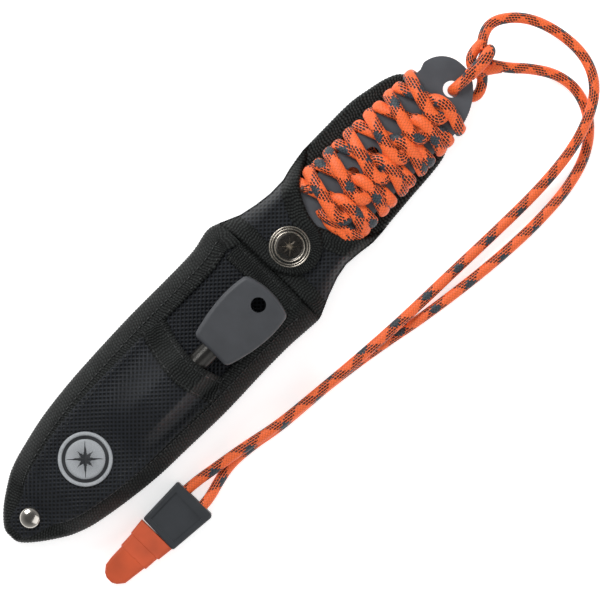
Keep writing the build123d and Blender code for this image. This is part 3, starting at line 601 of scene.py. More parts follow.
# %% Braided cord
ROWS_ROUND = 14            # rows of dashes round the cord
DASH_REPEAT = 1.25         # one dash and one gap along a row, in mm
DASH_SHARE = 0.82          # how much of that the dash takes
DASH_SHIFT = 0.37          # how far each row's dashes lie ahead of the last row's
ROW_SHARE = 0.68           # how much of a row's width its dashes cover
TRACER_SHARE = 0.34        # how much of the way round one helix of tracers covers
TRACER_DRIFT = 1.07        # one helix is this much longer, so the patches wander round the cord


def make_cord(name, bright, shadow, patch, dash):
    """Braided cord in two colours, with the tracer's rows of dashes and solid patches."""
    material, tree, shader = start_material(name, bright, 0.5, Sheen_Weight=0.15,
                                            Sheen_Roughness=0.35, Specular_IOR_Level=0.45)
    uv = add(tree, "ShaderNodeUVMap")
    over = add(tree, "ShaderNodeTexChecker", {"Vector": uv, "Scale": 1.0}).outputs["Fac"]
    one, other = [add(tree, "ShaderNodeTexWave", {"Vector": uv, "Scale": WAVE_ONCE},
                      bands_direction=axis).outputs["Fac"] for axis in "YX"]
    braid = add(tree, "ShaderNodeMix", {0: over, 2: one, 3: other})
    u, v = add(tree, "ShaderNodeSeparateXYZ", {0: uv}).outputs[:2]
    along = add(tree, "ShaderNodeMath", {0: u, 1: v}, operation="ADD")
    around = add(tree, "ShaderNodeMath", {0: u, 1: v}, operation="SUBTRACT")
    rows = add(tree, "ShaderNodeMath", {0: around, 1: ROWS_ROUND / 2 / BRAID_ROUND},
               operation="MULTIPLY")
    row = add(tree, "ShaderNodeMath", {0: rows}, operation="FLOOR")
    part = add(tree, "ShaderNodeMath", {0: rows}, operation="FRACT")
    in_row = add(tree, "ShaderNodeMath", {0: part, 1: ROW_SHARE}, operation="LESS_THAN")
    helices = []
    for sense, repeat in ((1, TRACER_REPEAT), (-1, TRACER_REPEAT * TRACER_DRIFT)):
        lap = add(tree, "ShaderNodeMath", {0: row, 1: sense / ROWS_ROUND}, operation="MULTIPLY")
        lap = add(tree, "ShaderNodeMath", {0: along, 1: BRAID_CELL / 2 / repeat, 2: lap},
                  operation="MULTIPLY_ADD")
        lap = add(tree, "ShaderNodeMath", {0: lap}, operation="FRACT")
        helices.append(add(tree, "ShaderNodeMath", {0: lap, 1: TRACER_SHARE},
                           operation="LESS_THAN"))
    solid = add(tree, "ShaderNodeMath", {0: helices[0], 1: helices[1]}, operation="MULTIPLY")
    either = add(tree, "ShaderNodeMath", {0: helices[0], 1: helices[1]}, operation="MAXIMUM")
    run = add(tree, "ShaderNodeMath", {0: row, 1: DASH_SHIFT}, operation="MULTIPLY")
    run = add(tree, "ShaderNodeMath", {0: along, 1: BRAID_CELL / 2 / DASH_REPEAT, 2: run},
              operation="MULTIPLY_ADD")
    run = add(tree, "ShaderNodeMath", {0: run}, operation="FRACT")
    drawn = add(tree, "ShaderNodeMath", {0: run, 1: DASH_SHARE}, operation="LESS_THAN")
    for limit in (in_row, either):
        drawn = add(tree, "ShaderNodeMath", {0: drawn, 1: limit}, operation="MULTIPLY")
    dark = add(tree, "ShaderNodeMath", {0: solid, 1: drawn}, operation="MAXIMUM")
    place = add(tree, "ShaderNodeTexCoord").outputs["Object"]
    fibre = add(tree, "ShaderNodeTexNoise", {"Vector": place, "Scale": PER_METRE / 0.3,
                                             "Detail": 3.0})
    # Each ramp runs from painted shade low in the braid to the yarn's colour on its crown; the dark
    # low ends of the slate and dash ramps are painted shade between the yarns.
    orange, slate, brown = [
        add(tree, "ShaderNodeValToRGB", {0: braid}, stops=((0.0, low), (level, high)))
        for low, level, high in ((shadow, 0.35, bright), ("0d1114", 0.4, patch),
                                 ("0d0b0a", 0.4, dash))]
    yarns = add(tree, "ShaderNodeMix", {0: solid, 6: brown, 7: slate}, data_type="RGBA")
    colour = add(tree, "ShaderNodeMix", {0: dark, 6: orange, 7: yarns.outputs[2]},
                 data_type="RGBA")
    value = add(tree, "ShaderNodeMapRange", {0: fibre, 1: 0.3, 2: 0.7, 3: 0.85, 4: 1.12})
    add(tree, "ShaderNodeHueSaturation", {"Color": colour.outputs[2], "Value": value},
        to=shader.inputs["Base Color"])
    height = add(tree, "ShaderNodeMath", {0: fibre, 1: 0.3, 2: braid}, operation="MULTIPLY_ADD")
    add(tree, "ShaderNodeBump", {"Height": height, "Distance": 0.05 * MM},
        to=shader.inputs["Normal"])
    return material


paracord = make_cord("braided nylon cord", "ff7034", "d85a26", "38434b", "17110f")
cords = [cord_left, cord_right, cord_loop, cord_knot, cord_under, *wrap_ends, *wraps]
for piece in cords:
    piece.data.materials.append(paracord)
print(paracord.name, "on", len(cords), "pieces")

# %% [markdown]
# The sheath's cloth is stiff, lined and sewn down all round, so it hardly drapes. A cloth
# simulation could settle it, but one height function is simpler and always gives the same result:
# low at the sewn rim, up over the blade guard, flat across the front, and pulled up into a tent
# over the fire starter's rod.

# %% Shape of the pouch
RIM_TOP = 10.4
BACK_LOW, BACK_TOP = (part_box("back_panel")[k].z / MM for k in (0, 1))
POUCH = [            # y, outer edge left and right, tape's inner edge left and right, height
    (-9.2, -4.4, 3.4, -1.6, 1.0, 11.6), (-4.0, -9.8, 8.4, -3.5, 3.5, 12.6),
    (4.0, -15.2, 14.0, -6.0, 6.0, 13.4), (9.0, -17.7, 16.5, -9.0, 9.0, 16.2),
    (16.0, -19.8, 18.8, -11.2, 11.2, 19.4), (30.0, -22.8, 21.4, -14.0, 14.0, 20.2),
    (45.0, -24.5, 23.2, -15.2, 15.3, 20.2), (60.0, -25.3, 23.8, -15.5, 15.6, 20.2),
    (80.0, -25.8, 24.5, -15.5, 15.7, 20.2), (100.0, -25.6, 24.1, -15.5, 15.7, 20.2),
    (114.0, -25.8, 24.2, -15.5, 15.7, 20.2), (123.5, -27.5, 24.9, -15.6, 15.8, 20.2),
    (129.0, -26.0, 25.2, -15.6, 15.8, 20.2)]
pouch_rows = curve_through(POUCH, 0.5)


def pouch_value(column, y):
    """One column of the pouch's table at any y."""
    return np.interp(y, pouch_rows[:, 0], pouch_rows[:, column])


def ease(t):
    """A number from 0 to 1, made to start and stop gently."""
    t = np.clip(t, 0, 1)
    return t * t * (3 - 2 * t)


def pouch_top(x, y):
    """Height of the front panel, with the slope under the tapes at both sides."""
    left, right, tape_l, tape_r, top = (pouch_value(c, y) for c in range(1, 6))
    inside = np.minimum((x - left) / (tape_l - left), (right - x) / (right - tape_r))
    climb = np.sin(np.pi / 2 * np.clip(inside, 0, 1)) ** 0.9
    return RIM_TOP + (top - RIM_TOP) * climb


ROD_R = 4.0
ROD_X = (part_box("fire_starter_rod")[0].x - RIVET[0]) / MM + ROD_R
POCKET_T = 1.0
TENT_RISE = 11.0           # height of the pocket over the rod, above the flat cloth
TENT_FROM, TENT_RUN = 41.5, 23.0       # where along y it starts, and how long its slope is
TENT_LEFT, TENT_RIGHT = -15.2, 15.4    # where its sides start
LEFT_RUN, RIGHT_RUN = 15.0, 6.4        # how wide its sides are


def pocket_top(x, y):
    """Height of the pocket: on the front panel, and up over the rod near its mouth."""
    lift = TENT_RISE * ease((y - TENT_FROM) / TENT_RUN)
    wide = ease((x - TENT_LEFT) / LEFT_RUN) * ease((TENT_RIGHT - x) / RIGHT_RUN)
    crown = 1 - 0.05 * ((x - ROD_X) / 5.0) ** 2
    return pouch_top(x, y) + POCKET_T + lift * wide * np.clip(crown, 0.5, 1)


print(f"pouch {POUCH[-1][0] - POUCH[0][0]:.0f} mm long, its top {pouch_rows[:, 5].max():.1f} mm up")

# %% [markdown]
# A panel of cloth is a grid between two edge lines, lying on a height function. The weave's pits
# are pressed into its upper face. The front of the sheath is such a panel, and so is the pocket
# that is sewn on it.

# %% Woven panels
CLOTH_STEP = 0.36


def settle(piece, finish, body, slot, *nodes):
    """Give a piece its finish, let it ride on its body, and stand for CAD nodes. The slot is not
    used.
    """
    piece.data.materials.append(finish)
    if nodes:
        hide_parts(*nodes)
    if body:
        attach(piece, body)
    return piece


def cloth_panel(name, left_line, right_line, top, thickness, step, pit_depth=0.35):
    """A woven panel between two edge lines of (x, y) in mm, on a height function."""
    rows = max(len(left_line), len(right_line))
    left_line, right_line = (np.stack([np.interp(np.linspace(0, 1, rows),
                                                 np.linspace(0, 1, len(line)), line[:, c])
                                       for c in (0, 1)], 1) for line in (left_line, right_line))
    width = np.linalg.norm(left_line - right_line, axis=1).max()
    share = np.linspace(0, 1, int(width / step) + 2)[None, :, None]
    plan = left_line[:, None] * (1 - share) + right_line[:, None] * share
    x, y = plan[..., 0], plan[..., 1]
    pattern = weave_pattern(x, y)
    smooth = top(x, y)
    woven = smooth - pit_depth * (1 - weave_height(pattern))
    upper = np.stack([x, y, woven], -1)
    lower = np.stack([x, y, smooth - thickness], -1)
    piece = sheet_mesh(name, metres(upper)[:, ::-1], metres(lower)[:, ::-1], pattern[:, ::-1])
    print(f"{name}: {len(piece.data.polygons)} faces")
    return piece


def side_line(column, low, high, shift, step=CLOTH_STEP):
    """A line of (x, y) down one column of the pouch's table, shifted sideways."""
    y = np.arange(low, high, step)
    return np.stack([pouch_value(column, y) + shift, y], 1)


UNDER_TAPE = 2.0           # the panels run this far in under their tapes
front = cloth_panel("cloth_front", side_line(3, 44, 128, -UNDER_TAPE),
                    side_line(4, 44, 128, UNDER_TAPE), pouch_top, 1.6, CLOTH_STEP)
settle(front, nylon_cloth, "sheath", "nylon_weave", "front_panel")
pocket = cloth_panel("cloth_pocket", side_line(3, -7.5, 84.0, -UNDER_TAPE),
                     side_line(4, -7.5, 84.0, UNDER_TAPE), pocket_top, POCKET_T, CLOTH_STEP)
settle(pocket, nylon_cloth, "sheath", "nylon_weave", "pocket_panel")

# %% [markdown]
# A tape is folded over an edge, so its section is a thin hook: flat underneath, round the edge
# and flat on top. The section is swept along the edge's outline, and every rib is raised on it.

# %% Tapes folded over an edge
TAPE_T = 0.75
RIB_RISE = 0.22
RIB_SAMPLES = 5
FOLD_IN = 5.6              # the sewn line along the tape, in from its edge
FOLD_DEPTH, FOLD_WIDE = 0.2, 0.7
EDGE_DROOP, DROOP_WIDE = 0.45, 0.9     # how the tape turns down over the edge


def flat_at(height):
    """A height function that is the same everywhere."""
    return lambda x, y: np.full(np.shape(x), height)


def inward_of(line):
    """Directions square to a line of (x, y), to its left, where the cloth lies."""
    tangent = np.gradient(line, axis=0)
    tangent /= np.linalg.norm(tangent, axis=1)[:, None]
    return np.stack([-tangent[:, 1], tangent[:, 0]], 1)


def folded_tape(name, edge, width, under, top, bottom, pitch, skew=0.0):
    """Ribbed tape over an edge line of (x, y), width mm wide on top and under mm below."""
    line = curve_through(edge, pitch / RIB_SAMPLES)
    inward = inward_of(line)
    width = np.broadcast_to(np.interp(line[:, 1], *width) if isinstance(width, tuple) else width,
                            len(line))
    run = np.arange(len(line)) / RIB_SAMPLES
    shares = np.linspace(0.06, 1, 21)
    hook = [(under * k, "low") for k in (1.0, 0.5)] + [(0.3, "low")]
    hook += [(-0.1, 0.2), (-0.4, 0.5), (-0.1, 0.85)]
    rings, patterns = [], []
    for reach, level in hook + [(k, "top") for k in shares] + [(0.97, "inner"), (0.5, "inner"),
                                                               (0.9, "core"), (under, "core")]:
        across = reach * width if level in ("top", "inner") else np.full(len(line), reach)
        place = line + inward * across[:, None]
        count_ribs = run + skew * np.abs(across - FOLD_IN) / pitch
        wobble = (0.3 * np.sin(0.31 * count_ribs + across * 0.9) * np.sin(across * 0.7 + 1.0)
                  + 0.16 * np.sin(0.83 * count_ribs - across * 0.6))
        ribs = count_ribs + wobble
        rib = np.abs(np.sin(np.pi * ribs)) ** 0.8 - 0.6
        edge_low, edge_high = bottom(*(line + inward * 0.3).T), top(*(line + inward * 0.3).T)
        if level == "low":
            height = bottom(*place.T) - TAPE_T - RIB_RISE * rib
        elif not isinstance(level, str):
            place = place - inward * (RIB_RISE * rib)[:, None]
            height = edge_low + (edge_high - edge_low) * level
        elif level == "top":
            droop = EDGE_DROOP * np.clip(1 - across / DROOP_WIDE, 0, 1) ** 2
            groove = FOLD_DEPTH * np.exp(-((across - FOLD_IN) / FOLD_WIDE) ** 2)
            height = top(*place.T) + TAPE_T - droop - groove + RIB_RISE * rib
        elif level == "inner":
            height = top(*place.T) + 0.05
        else:
            height = bottom(*place.T) + 0.02
        rings.append(np.column_stack([place, height]))
        patterns.append(np.column_stack([ribs, across]))
    patterns.append(patterns[0])
    piece = swept(name, metres(np.stack(rings, 1))[:, ::-1],
                  np.stack(patterns, 1)[:, ::-1])
    print(f"{name}: {run[-1]:.0f} ribs, {len(piece.data.polygons)} faces")
    return piece


# %% [markdown]
# Three tapes finish the pouch: one right round its edge, one along the mouth and one along the
# pocket's hem. The edge tape's outline runs a little past the mouth, and what lies past it is
# pushed back level, so the tape ends square.

# %% Tapes of the pouch
POUCH_EDGE = ([(-24.6, 134.0)] + [(row[1], row[0]) for row in reversed(POUCH)] + [(-0.6, -10.0)]
              + [(row[2], row[0]) for row in POUCH] + [(24.4, 134.0)])
POUCH_END = 129.1          # the tape is cut square here, level with the mouth
PUSH_BACK = 0.97           # how much of what lies past a line is pushed back to it
tape_width = ([-10, -4, 4, 9, 16, 30, 60, 130], [4.6, 6.0, 7.6, 8.2, 8.8, 9.2, 10.0, 10.2])
pouch_tape = folded_tape("tape_pouch", POUCH_EDGE, tape_width, 8.0, pouch_top,
                         flat_at(BACK_LOW), 1.1, 0.3)
for vertex in pouch_tape.data.vertices:
    past = vertex.co.y - at(0, POUCH_END).y
    if past > 0:
        vertex.co.y -= past * PUSH_BACK
settle(pouch_tape, edge_tape, "sheath", "edge_tape", "pouch_binding")

MOUTH_EDGE = [(15.9, 129.0), (5.0, 129.2), (-6.0, 129.2), (-15.8, 129.0)]
mouth_tape = folded_tape("tape_mouth", MOUTH_EDGE, 8.0, 2.0, pouch_top, flat_at(18.6), 0.95)
settle(mouth_tape, edge_tape, "sheath", "edge_tape", "mouth_binding")

HEM_EDGE = [(15.6, 88.0), (10.0, 86.0), (5.0, 84.9), (0.0, 84.9), (-8.0, 86.2), (-15.6, 88.6)]
hem_tape = folded_tape("tape_hem", HEM_EDGE, 10.2, 2.0, pocket_top,
                       lambda x, y: pocket_top(x, y) - POCKET_T, 0.95)
settle(hem_tape, edge_tape, "sheath", "edge_tape", "pocket_hem")
print(f"pouch bound to y {POUCH_END}")

# %% [markdown]
# Behind the handle the back panel runs on alone, bound all round with the same tape. Here the
# tape is painted a little paler, a painted light, so that its flat, low run looks as bright as
# the sloped tape of the pouch. The panel is woven like the front and lies flat.

# %% Back panel and its tape
NECK_LEFT = [(-25.2, 130.6), (-22.5, 136.5), (-20.9, 143.5), (-20.0, 150.0), (-20.1, 157.0),
             (-21.4, 162.0), (-22.6, 170.0), (-22.8, 184.0), (-22.6, 195.0), (-21.3, 203.0),
             (-19.0, 212.0), (-15.5, 217.0)]
PANEL_END = [(-7.0, 219.6), (4.0, 219.0), (11.5, 214.5)]
NECK_RIGHT = [(15.5, 207.0), (17.0, 200.0), (18.0, 185.0), (18.8, 174.0), (19.5, 164.0),
              (18.5, 157.0), (17.9, 151.0), (19.0, 145.0), (21.5, 138.0), (24.8, 130.5)]
HANDLE_EDGE = NECK_RIGHT[::-1] + PANEL_END[::-1] + NECK_LEFT[::-1]
handle_tape = folded_tape("tape_handle", HANDLE_EDGE, 8.0, 7.0, flat_at(BACK_TOP),
                          flat_at(BACK_LOW), 1.3, 0.25)
settle(handle_tape, painted_bright_tape, "sheath", "edge_tape", "handle_binding")

BACK_STEP = 0.5
BACK_IN = 0.9              # the panel's own edge lies this far inside its tape's
back_left = curve_through([(-0.6, -8.6)] + [(row[1] + BACK_IN, row[0]) for row in POUCH[1:]]
                          + [(x + BACK_IN, y) for x, y in NECK_LEFT]
                          + [(-7.0, 218.8), (-1.5, 218.9)], BACK_STEP)
back_right = curve_through([(-0.6, -8.6)] + [(row[2] - BACK_IN, row[0]) for row in POUCH[1:]]
                           + [(x - BACK_IN, y) for x, y in NECK_RIGHT[::-1]]
                           + [(11.0, 213.8), (4.0, 218.2), (-1.5, 218.9)], BACK_STEP)
back = cloth_panel("cloth_back", back_left, back_right, flat_at(BACK_TOP), BACK_TOP - BACK_LOW,
                   BACK_STEP, 0.25)
settle(back, nylon_cloth, "sheath", "nylon_weave", "back_panel")
print(f"back panel {back_left[:, 1].max() - back_left[:, 1].min():.0f} mm long")

# %% [markdown]
# The two straps are sewn under the handle's tape at the sheath's sides. Each rises over the edge
# of the handle, turns flat and meets the other under the snap, the left one on top. A height
# function gives the rise, as on the pouch, and what lies outside the sheath's outline is folded
# straight down.

# %% Shape of the straps
STRAP_T = 1.6
ROOT_Z = 12.4
ROOT_SINK = 2.6            # their ends sink this far, onto the back,
STRAP_FADE = (159.0, 172.0)    # between these stations along y
SHOULDER = {-1: -15.6, 1: 14.6}    # where the left and right straps have come up level
NECK_PROUD = 0.35          # the straps lie this far outside the back panel's tape
TUCK_SLOPE, TUCK_DEPTH = 0.8, 2.6
FLAP_PROUD = 0.3           # the flaps' cloth lies this far above the CAD flaps
STRAP_LEFT = [(-29.0, 129.0), (-24.0, 129.3), (-17.0, 129.9), (-9.0, 129.8), (0.0, 130.4),
              (6.0, 133.4), (9.4, 138.0), (9.9, 143.5), (7.4, 149.0), (2.6, 152.6), (-4.5, 153.9),
              (-11.5, 157.0), (-15.6, 160.2), (-18.8, 165.0), (-21.4, 170.5), (-26.0, 175.5)]
STRAP_RIGHT = [(24.5, 173.5), (19.6, 168.5), (17.4, 163.8), (14.0, 159.3), (8.5, 156.4),
               (1.0, 153.2), (-4.0, 150.4), (-7.6, 146.0), (-9.0, 141.0), (-8.3, 136.0),
               (-5.0, 131.8), (0.0, 130.0), (12.0, 129.8), (20.0, 129.4), (28.5, 128.9)]
NECK_EDGE = {side: np.array(neck + [(row[1 if side < 0 else 2], row[0]) for row in POUCH[:-5:-1]])
             for side, neck in ((-1, NECK_LEFT[::-1]), (1, NECK_RIGHT))}


def strap_top(side, flat):
    """Height function of a strap: from its root beside the handle up to the flat part."""
    def height(x, y):
        root = neck_x(side, y)
        climb = np.clip((x - root) / (SHOULDER[side] - root), 0, 1)
        fade = ease((STRAP_FADE[1] - y) / (STRAP_FADE[1] - STRAP_FADE[0]))
        base = ROOT_Z - ROOT_SINK * (1 - fade)
        return base + (flat - base) * fade * np.sin(np.pi / 2 * climb) ** 0.8
    return height


def neck_x(side, y):
    """Where the sheath's outline runs at any y, on the left (-1) or on the right (1)."""
    edge = NECK_EDGE[side][np.argsort(NECK_EDGE[side][:, 1])]
    return np.interp(y, edge[:, 1], edge[:, 0])


def tuck_under(piece, side):
    """Fold what lies outside the sheath's outline straight down, as the sewn strap does."""
    place = np.empty(len(piece.data.vertices) * 3)
    piece.data.vertices.foreach_get("co", place)
    place = (place.reshape(-1, 3) - RIVET) / MM
    outside = np.maximum(side * (place[:, 0] - neck_x(side, place[:, 1]) - side * NECK_PROUD), 0)
    place[:, 0] -= side * outside * PUSH_BACK
    place[:, 2] -= np.minimum(outside * TUCK_SLOPE, TUCK_DEPTH)
    piece.data.vertices.foreach_set("co", metres(place).ravel())
    piece.data.update()


# %% [markdown]
# Each strap is a woven panel in two halves of its outline, with tape folded over its edge. It
# bends where it leaves the sheath. It isn't a hinge of two stiff pieces, so each piece is blended
# from the sheath to its flap.

# %% Straps
for side, word, outline in ((-1, "left", STRAP_LEFT), (1, "right", STRAP_RIGHT)):
    top = strap_top(side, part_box(f"strap_{word}")[1].z / MM + FLAP_PROUD)
    line = curve_through(outline, CLOTH_STEP)
    half = len(line) // 2
    inset = line + inward_of(line) * 0.5
    one, two = inset[:half + 1], inset[:half - 1:-1][:half + 1]
    cloth = cloth_panel(f"cloth_strap_{word}", two, one, top, STRAP_T - 0.3, CLOTH_STEP)
    tape = folded_tape(f"tape_strap_{word}", outline, 6.6, 6.0,
                       lambda x, y: top(x, y) - 0.25, lambda x, y: top(x, y) - STRAP_T, 1.1)
    for piece, finish, slot, nodes in (
            (cloth, nylon_cloth, "nylon_weave", (f"strap_{word}", f"strap_{word}_root")),
            (tape, edge_tape, "edge_tape", (f"strap_{word}_binding",))):
        tuck_under(piece, side)
        settle(piece, finish, None, slot, *nodes)
        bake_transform(piece)

# %% [markdown]
# Stitches hold it all together. One stitch is a short spindle of thread that dips into the cloth
# at both ends. An array along a curve could repeat it, but a loop can also lay each stitch on the
# height function. The whole seam is one mesh.

# %% Stitches
STITCH_PITCH = 2.4
STITCH_LONG = 1.9
THREAD_R = 0.26
THREAD_SIDES = 6
STITCH_RISE, STITCH_DIP = 0.12, 0.3    # its middle stands up this far, its ends dip by this


def seam(name, lines, height, body, pitch=STITCH_PITCH, slant=0.0):
    """Stitches along lines of (x, y) in mm, lying on a height function."""
    share = np.array([-1.0, -0.85, -0.4, 0.0, 0.4, 0.85, 1.0])
    thick = np.array([0.15, 0.6, 0.95, 1.0, 0.95, 0.6, 0.15]) * THREAD_R
    angle = np.arange(THREAD_SIDES) * 2 * math.pi / THREAD_SIDES
    points, faces = [], []
    for line in lines:
        line = evenly(line, pitch)
        middle = (line[1:] + line[:-1]) / 2
        way = np.diff(line, axis=0)
        way /= np.linalg.norm(way, axis=1)[:, None]
        way = way * math.cos(slant) + np.stack([-way[:, 1], way[:, 0]], 1) * math.sin(slant)
        for centre, (dx, dy) in zip(middle, way):
            base = len(points)
            for s, r in zip(share, thick):
                x, y = centre + np.array([dx, dy]) * s * STITCH_LONG / 2
                z = float(height(np.array([x]), np.array([y]))[0]) + STITCH_RISE
                z -= STITCH_DIP * s * s
                points += [(x - dy * r * math.cos(a), y + dx * r * math.cos(a),
                            z + r * math.sin(a)) for a in angle]
            rings = [[base + THREAD_SIDES * k + v for v in range(THREAD_SIDES)]
                     for k in range(len(share))]
            faces += [rings[0], rings[-1][::-1]]
            faces += [(a[k - 1], b[k - 1], b[k], a[k]) for a, b in zip(rings, rings[1:])
                      for k in range(THREAD_SIDES)]
    piece = make_mesh(name, metres(points), faces)
    settle(piece, thread, body, "stitching")
    print(f"{name}: {len(points) // THREAD_SIDES // len(share)} stitches")
    return piece


print(f"one stitch is {STITCH_LONG} mm long and {2 * THREAD_R:.2f} mm thick")

# %% [markdown]
# The thread is bonded nylon, twisted and black like the cloth, so a seam shows as a row of small
# soft glints. The seams run along the edges of the tapes.

# %% Seams


def make_thread(name, colour):
    """Bonded nylon thread: twisted, with a soft shine."""
    material, tree, shader = start_material(name, colour, 0.4, Specular_IOR_Level=0.5)
    place = add(tree, "ShaderNodeTexCoord").outputs["Object"]
    twist = add(tree, "ShaderNodeTexNoise", {"Vector": place, "Scale": PER_METRE / 0.3})
    add(tree, "ShaderNodeValToRGB", {0: twist}, stops=((0.3, "0c0d0e"), (0.7, colour)),
        to=shader.inputs["Base Color"])
    add(tree, "ShaderNodeBump", {"Height": twist, "Distance": 0.05 * MM},
        to=shader.inputs["Normal"])
    return material


thread = make_thread("bonded nylon thread", "1d1f20")


def inside(edge, distance, low, high):
    """A line at a distance inside an edge, kept between two values of y."""
    line = curve_through(edge, 0.4)
    moved = line + inward_of(line) * distance
    keep = (line[:, 1] >= low) & (line[:, 1] <= high)
    parts = np.split(moved[keep], np.where(np.diff(np.where(keep)[0]) > 1)[0] + 1)
    return [part for part in parts if len(part) > 3]


def lifted(height, rise):
    """A height function raised by a distance."""
    return lambda x, y: height(x, y) + rise


seam("stitch_pouch", inside(POUCH_EDGE, 5.4, 3, 124) + inside(POUCH_EDGE, 8.9, 30, 120),
     lifted(pouch_top, TAPE_T), "sheath")
seam("stitch_mouth", [[(15, 122.3), (-15, 122.3)], [(15, 127.4), (-15, 127.4)]],
     lifted(pouch_top, TAPE_T), "sheath")
seam("stitch_hem", inside(HEM_EDGE, 1.6, 0, 200) + inside(HEM_EDGE, 9.2, 0, 200),
     lifted(pocket_top, TAPE_T), "sheath")
seam("stitch_handle", inside(HANDLE_EDGE, 6.9, 131, 216),
     lifted(flat_at(BACK_TOP), TAPE_T), "sheath")

# %% [markdown]
# The belt loop is a strip of webbing, sewn flat to the back at both ends and standing off it in
# the middle, so that a belt slides through. Half of its side view is listed and mirrored.
# Short dense zigzags, called bartacks, take the load. They are seams with slanted, close stitches.

# %% Belt loop and bartacks
loop_low, loop_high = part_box("belt_loop")
LOOP_HALF = (loop_high.x - loop_low.x) / 2 / MM
LOOP_T = 1.8
LOOP_STEP = 0.3
LOOP_ACROSS = 60           # points across the webbing
LOOP_RIB, LOOP_PICK = 1.6, 1.3         # its ribs' width, and the length of one thread's pass
loop_x = (loop_high.x + loop_low.x) / 2 / MM - RIVET[0] / MM
loop_y = [v / MM - RIVET[1] / MM for v in (loop_low.y, loop_high.y)]
loop_half_side = [(0, BACK_LOW - LOOP_T), (7, BACK_LOW - LOOP_T), (10.5, BACK_LOW - LOOP_T - 2.2),
                  (14.5, 0.2), (30, 0.1)]      # inwards from an end, and height
loop_side = curve_through([(loop_y[0] + y, z) for y, z in loop_half_side]
                          + [(loop_y[1] - y, z) for y, z in loop_half_side[::-1]], LOOP_STEP)
across = np.linspace(-LOOP_HALF, LOOP_HALF, LOOP_ACROSS)
loop_normal = inward_of(loop_side)
lower, upper = [], []
for (y, z), (ny, nz) in zip(loop_side, loop_normal):
    rib = 0.1 * np.abs(np.sin(np.pi * across / LOOP_RIB + 0.5 * np.sin(np.pi * y / LOOP_PICK)))
    level = np.full(LOOP_ACROSS, z)
    lower.append(np.column_stack([loop_x + across, np.full(LOOP_ACROSS, y), level + 0.1 - rib]))
    upper.append(np.column_stack([loop_x + across, np.full(LOOP_ACROSS, y + ny * (LOOP_T - 0.15)),
                                  level + nz * (LOOP_T - 0.15)]))
lower, upper = np.array(lower), np.array(upper)
loop_run = np.arange(len(loop_side))[:, None] * LOOP_STEP / LOOP_PICK
loop_uv = np.stack([loop_run + 0 * across[None], across[None] / LOOP_RIB + 0 * loop_run], -1)
belt_loop = sheet_mesh("webbing_belt_loop", metres(upper)[:, ::-1], metres(lower)[:, ::-1],
                       loop_uv[:, ::-1])
settle(belt_loop, loop_webbing, "sheath", "webbing", "belt_loop")

TACK_HALF = 3.4
TACK_PITCH = 0.5
tack_lines = [[(loop_x + x - TACK_HALF, y), (loop_x + x + TACK_HALF, y)]
              for y in (loop_y[0] + 3, loop_y[1] - 3) for x in (-8.2, 0.0, 8.2)]
tacks = seam("bartacks_belt_loop", tack_lines, flat_at(BACK_LOW - LOOP_T - 0.1), "sheath",
             TACK_PITCH, math.radians(80))
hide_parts("belt_loop_bartacks")

# %% [markdown]
# The emblem is embroidered: satin stitches laid side by side over a ring and a disc, with a plain
# compass star in dark thread. The stitches are too fine to model one by one, so a ring is a domed
# band whose UV counts them, and its bump raises each one.

# %% Embroidered emblem
emblem_low, emblem_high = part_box("emblem")
EMBLEM = [(a + b) / 2 / MM - c / MM for a, b, c in zip(emblem_low[:2], emblem_high[:2], RIVET[:2])]
EMBLEM_R = (emblem_high.x - emblem_low.x) / 2 / MM
PATCH_Z = emblem_low.z / MM
SATIN_PITCH = 0.42
RING_STEPS = 240


def make_embroidery(name, colour, gap_shade):
    """Satin-stitched thread: the UV counts the stitches, each has a soft shine, and painted shade
    darkens the gaps between them.
    """
    material, tree, shader = start_material(name, colour, 0.45, Sheen_Weight=0.2,
                                            Sheen_Roughness=0.3, Specular_IOR_Level=0.5)
    uv = add(tree, "ShaderNodeUVMap")
    stitch = add(tree, "ShaderNodeTexWave", {"Vector": uv, "Scale": WAVE_ONCE, "Distortion": 1.2,
                                             "Detail Scale": 2.0},
                 bands_direction="X").outputs["Fac"]
    # The first stop is painted shade in the gaps between the stitches.
    add(tree, "ShaderNodeValToRGB", {0: stitch}, stops=((0.05, gap_shade), (0.5, colour)),
        to=shader.inputs["Base Color"])
    add(tree, "ShaderNodeBump", {"Height": stitch, "Distance": 0.12 * MM},
        to=shader.inputs["Normal"])
    return material


def satin_ring(name, inner, outer, base, rise, finish, slot):
    """A ring of satin stitches, domed across its width."""
    angle = np.linspace(0, 2 * np.pi, RING_STEPS + 1)
    across = np.linspace(0, 1, 9)
    radius = inner + (outer - inner) * across
    height = base + rise * np.sqrt(np.clip(1 - (2 * across - 1) ** 2, 0, 1))
    wave = 0.04 * np.sin(2 * angle * outer / SATIN_PITCH)
    x = EMBLEM[0] + np.cos(angle)[:, None] * radius
    y = EMBLEM[1] + np.sin(angle)[:, None] * radius
    z = height[None, :] + wave[:, None] * (across[None, :] * (1 - across[None, :]) * 4)
    count = angle * outer / SATIN_PITCH
    uv = np.stack([count[:, None] + 0 * radius, radius[None] + 0 * count[:, None]], -1)
    top = np.stack([x, y, z], -1)[:, ::-1]
    piece = sheet_mesh(name, metres(top), metres(top * [1, 1, 0] + [0, 0, base - 0.1]), uv[:, ::-1])
    return settle(piece, finish, "sheath", slot)


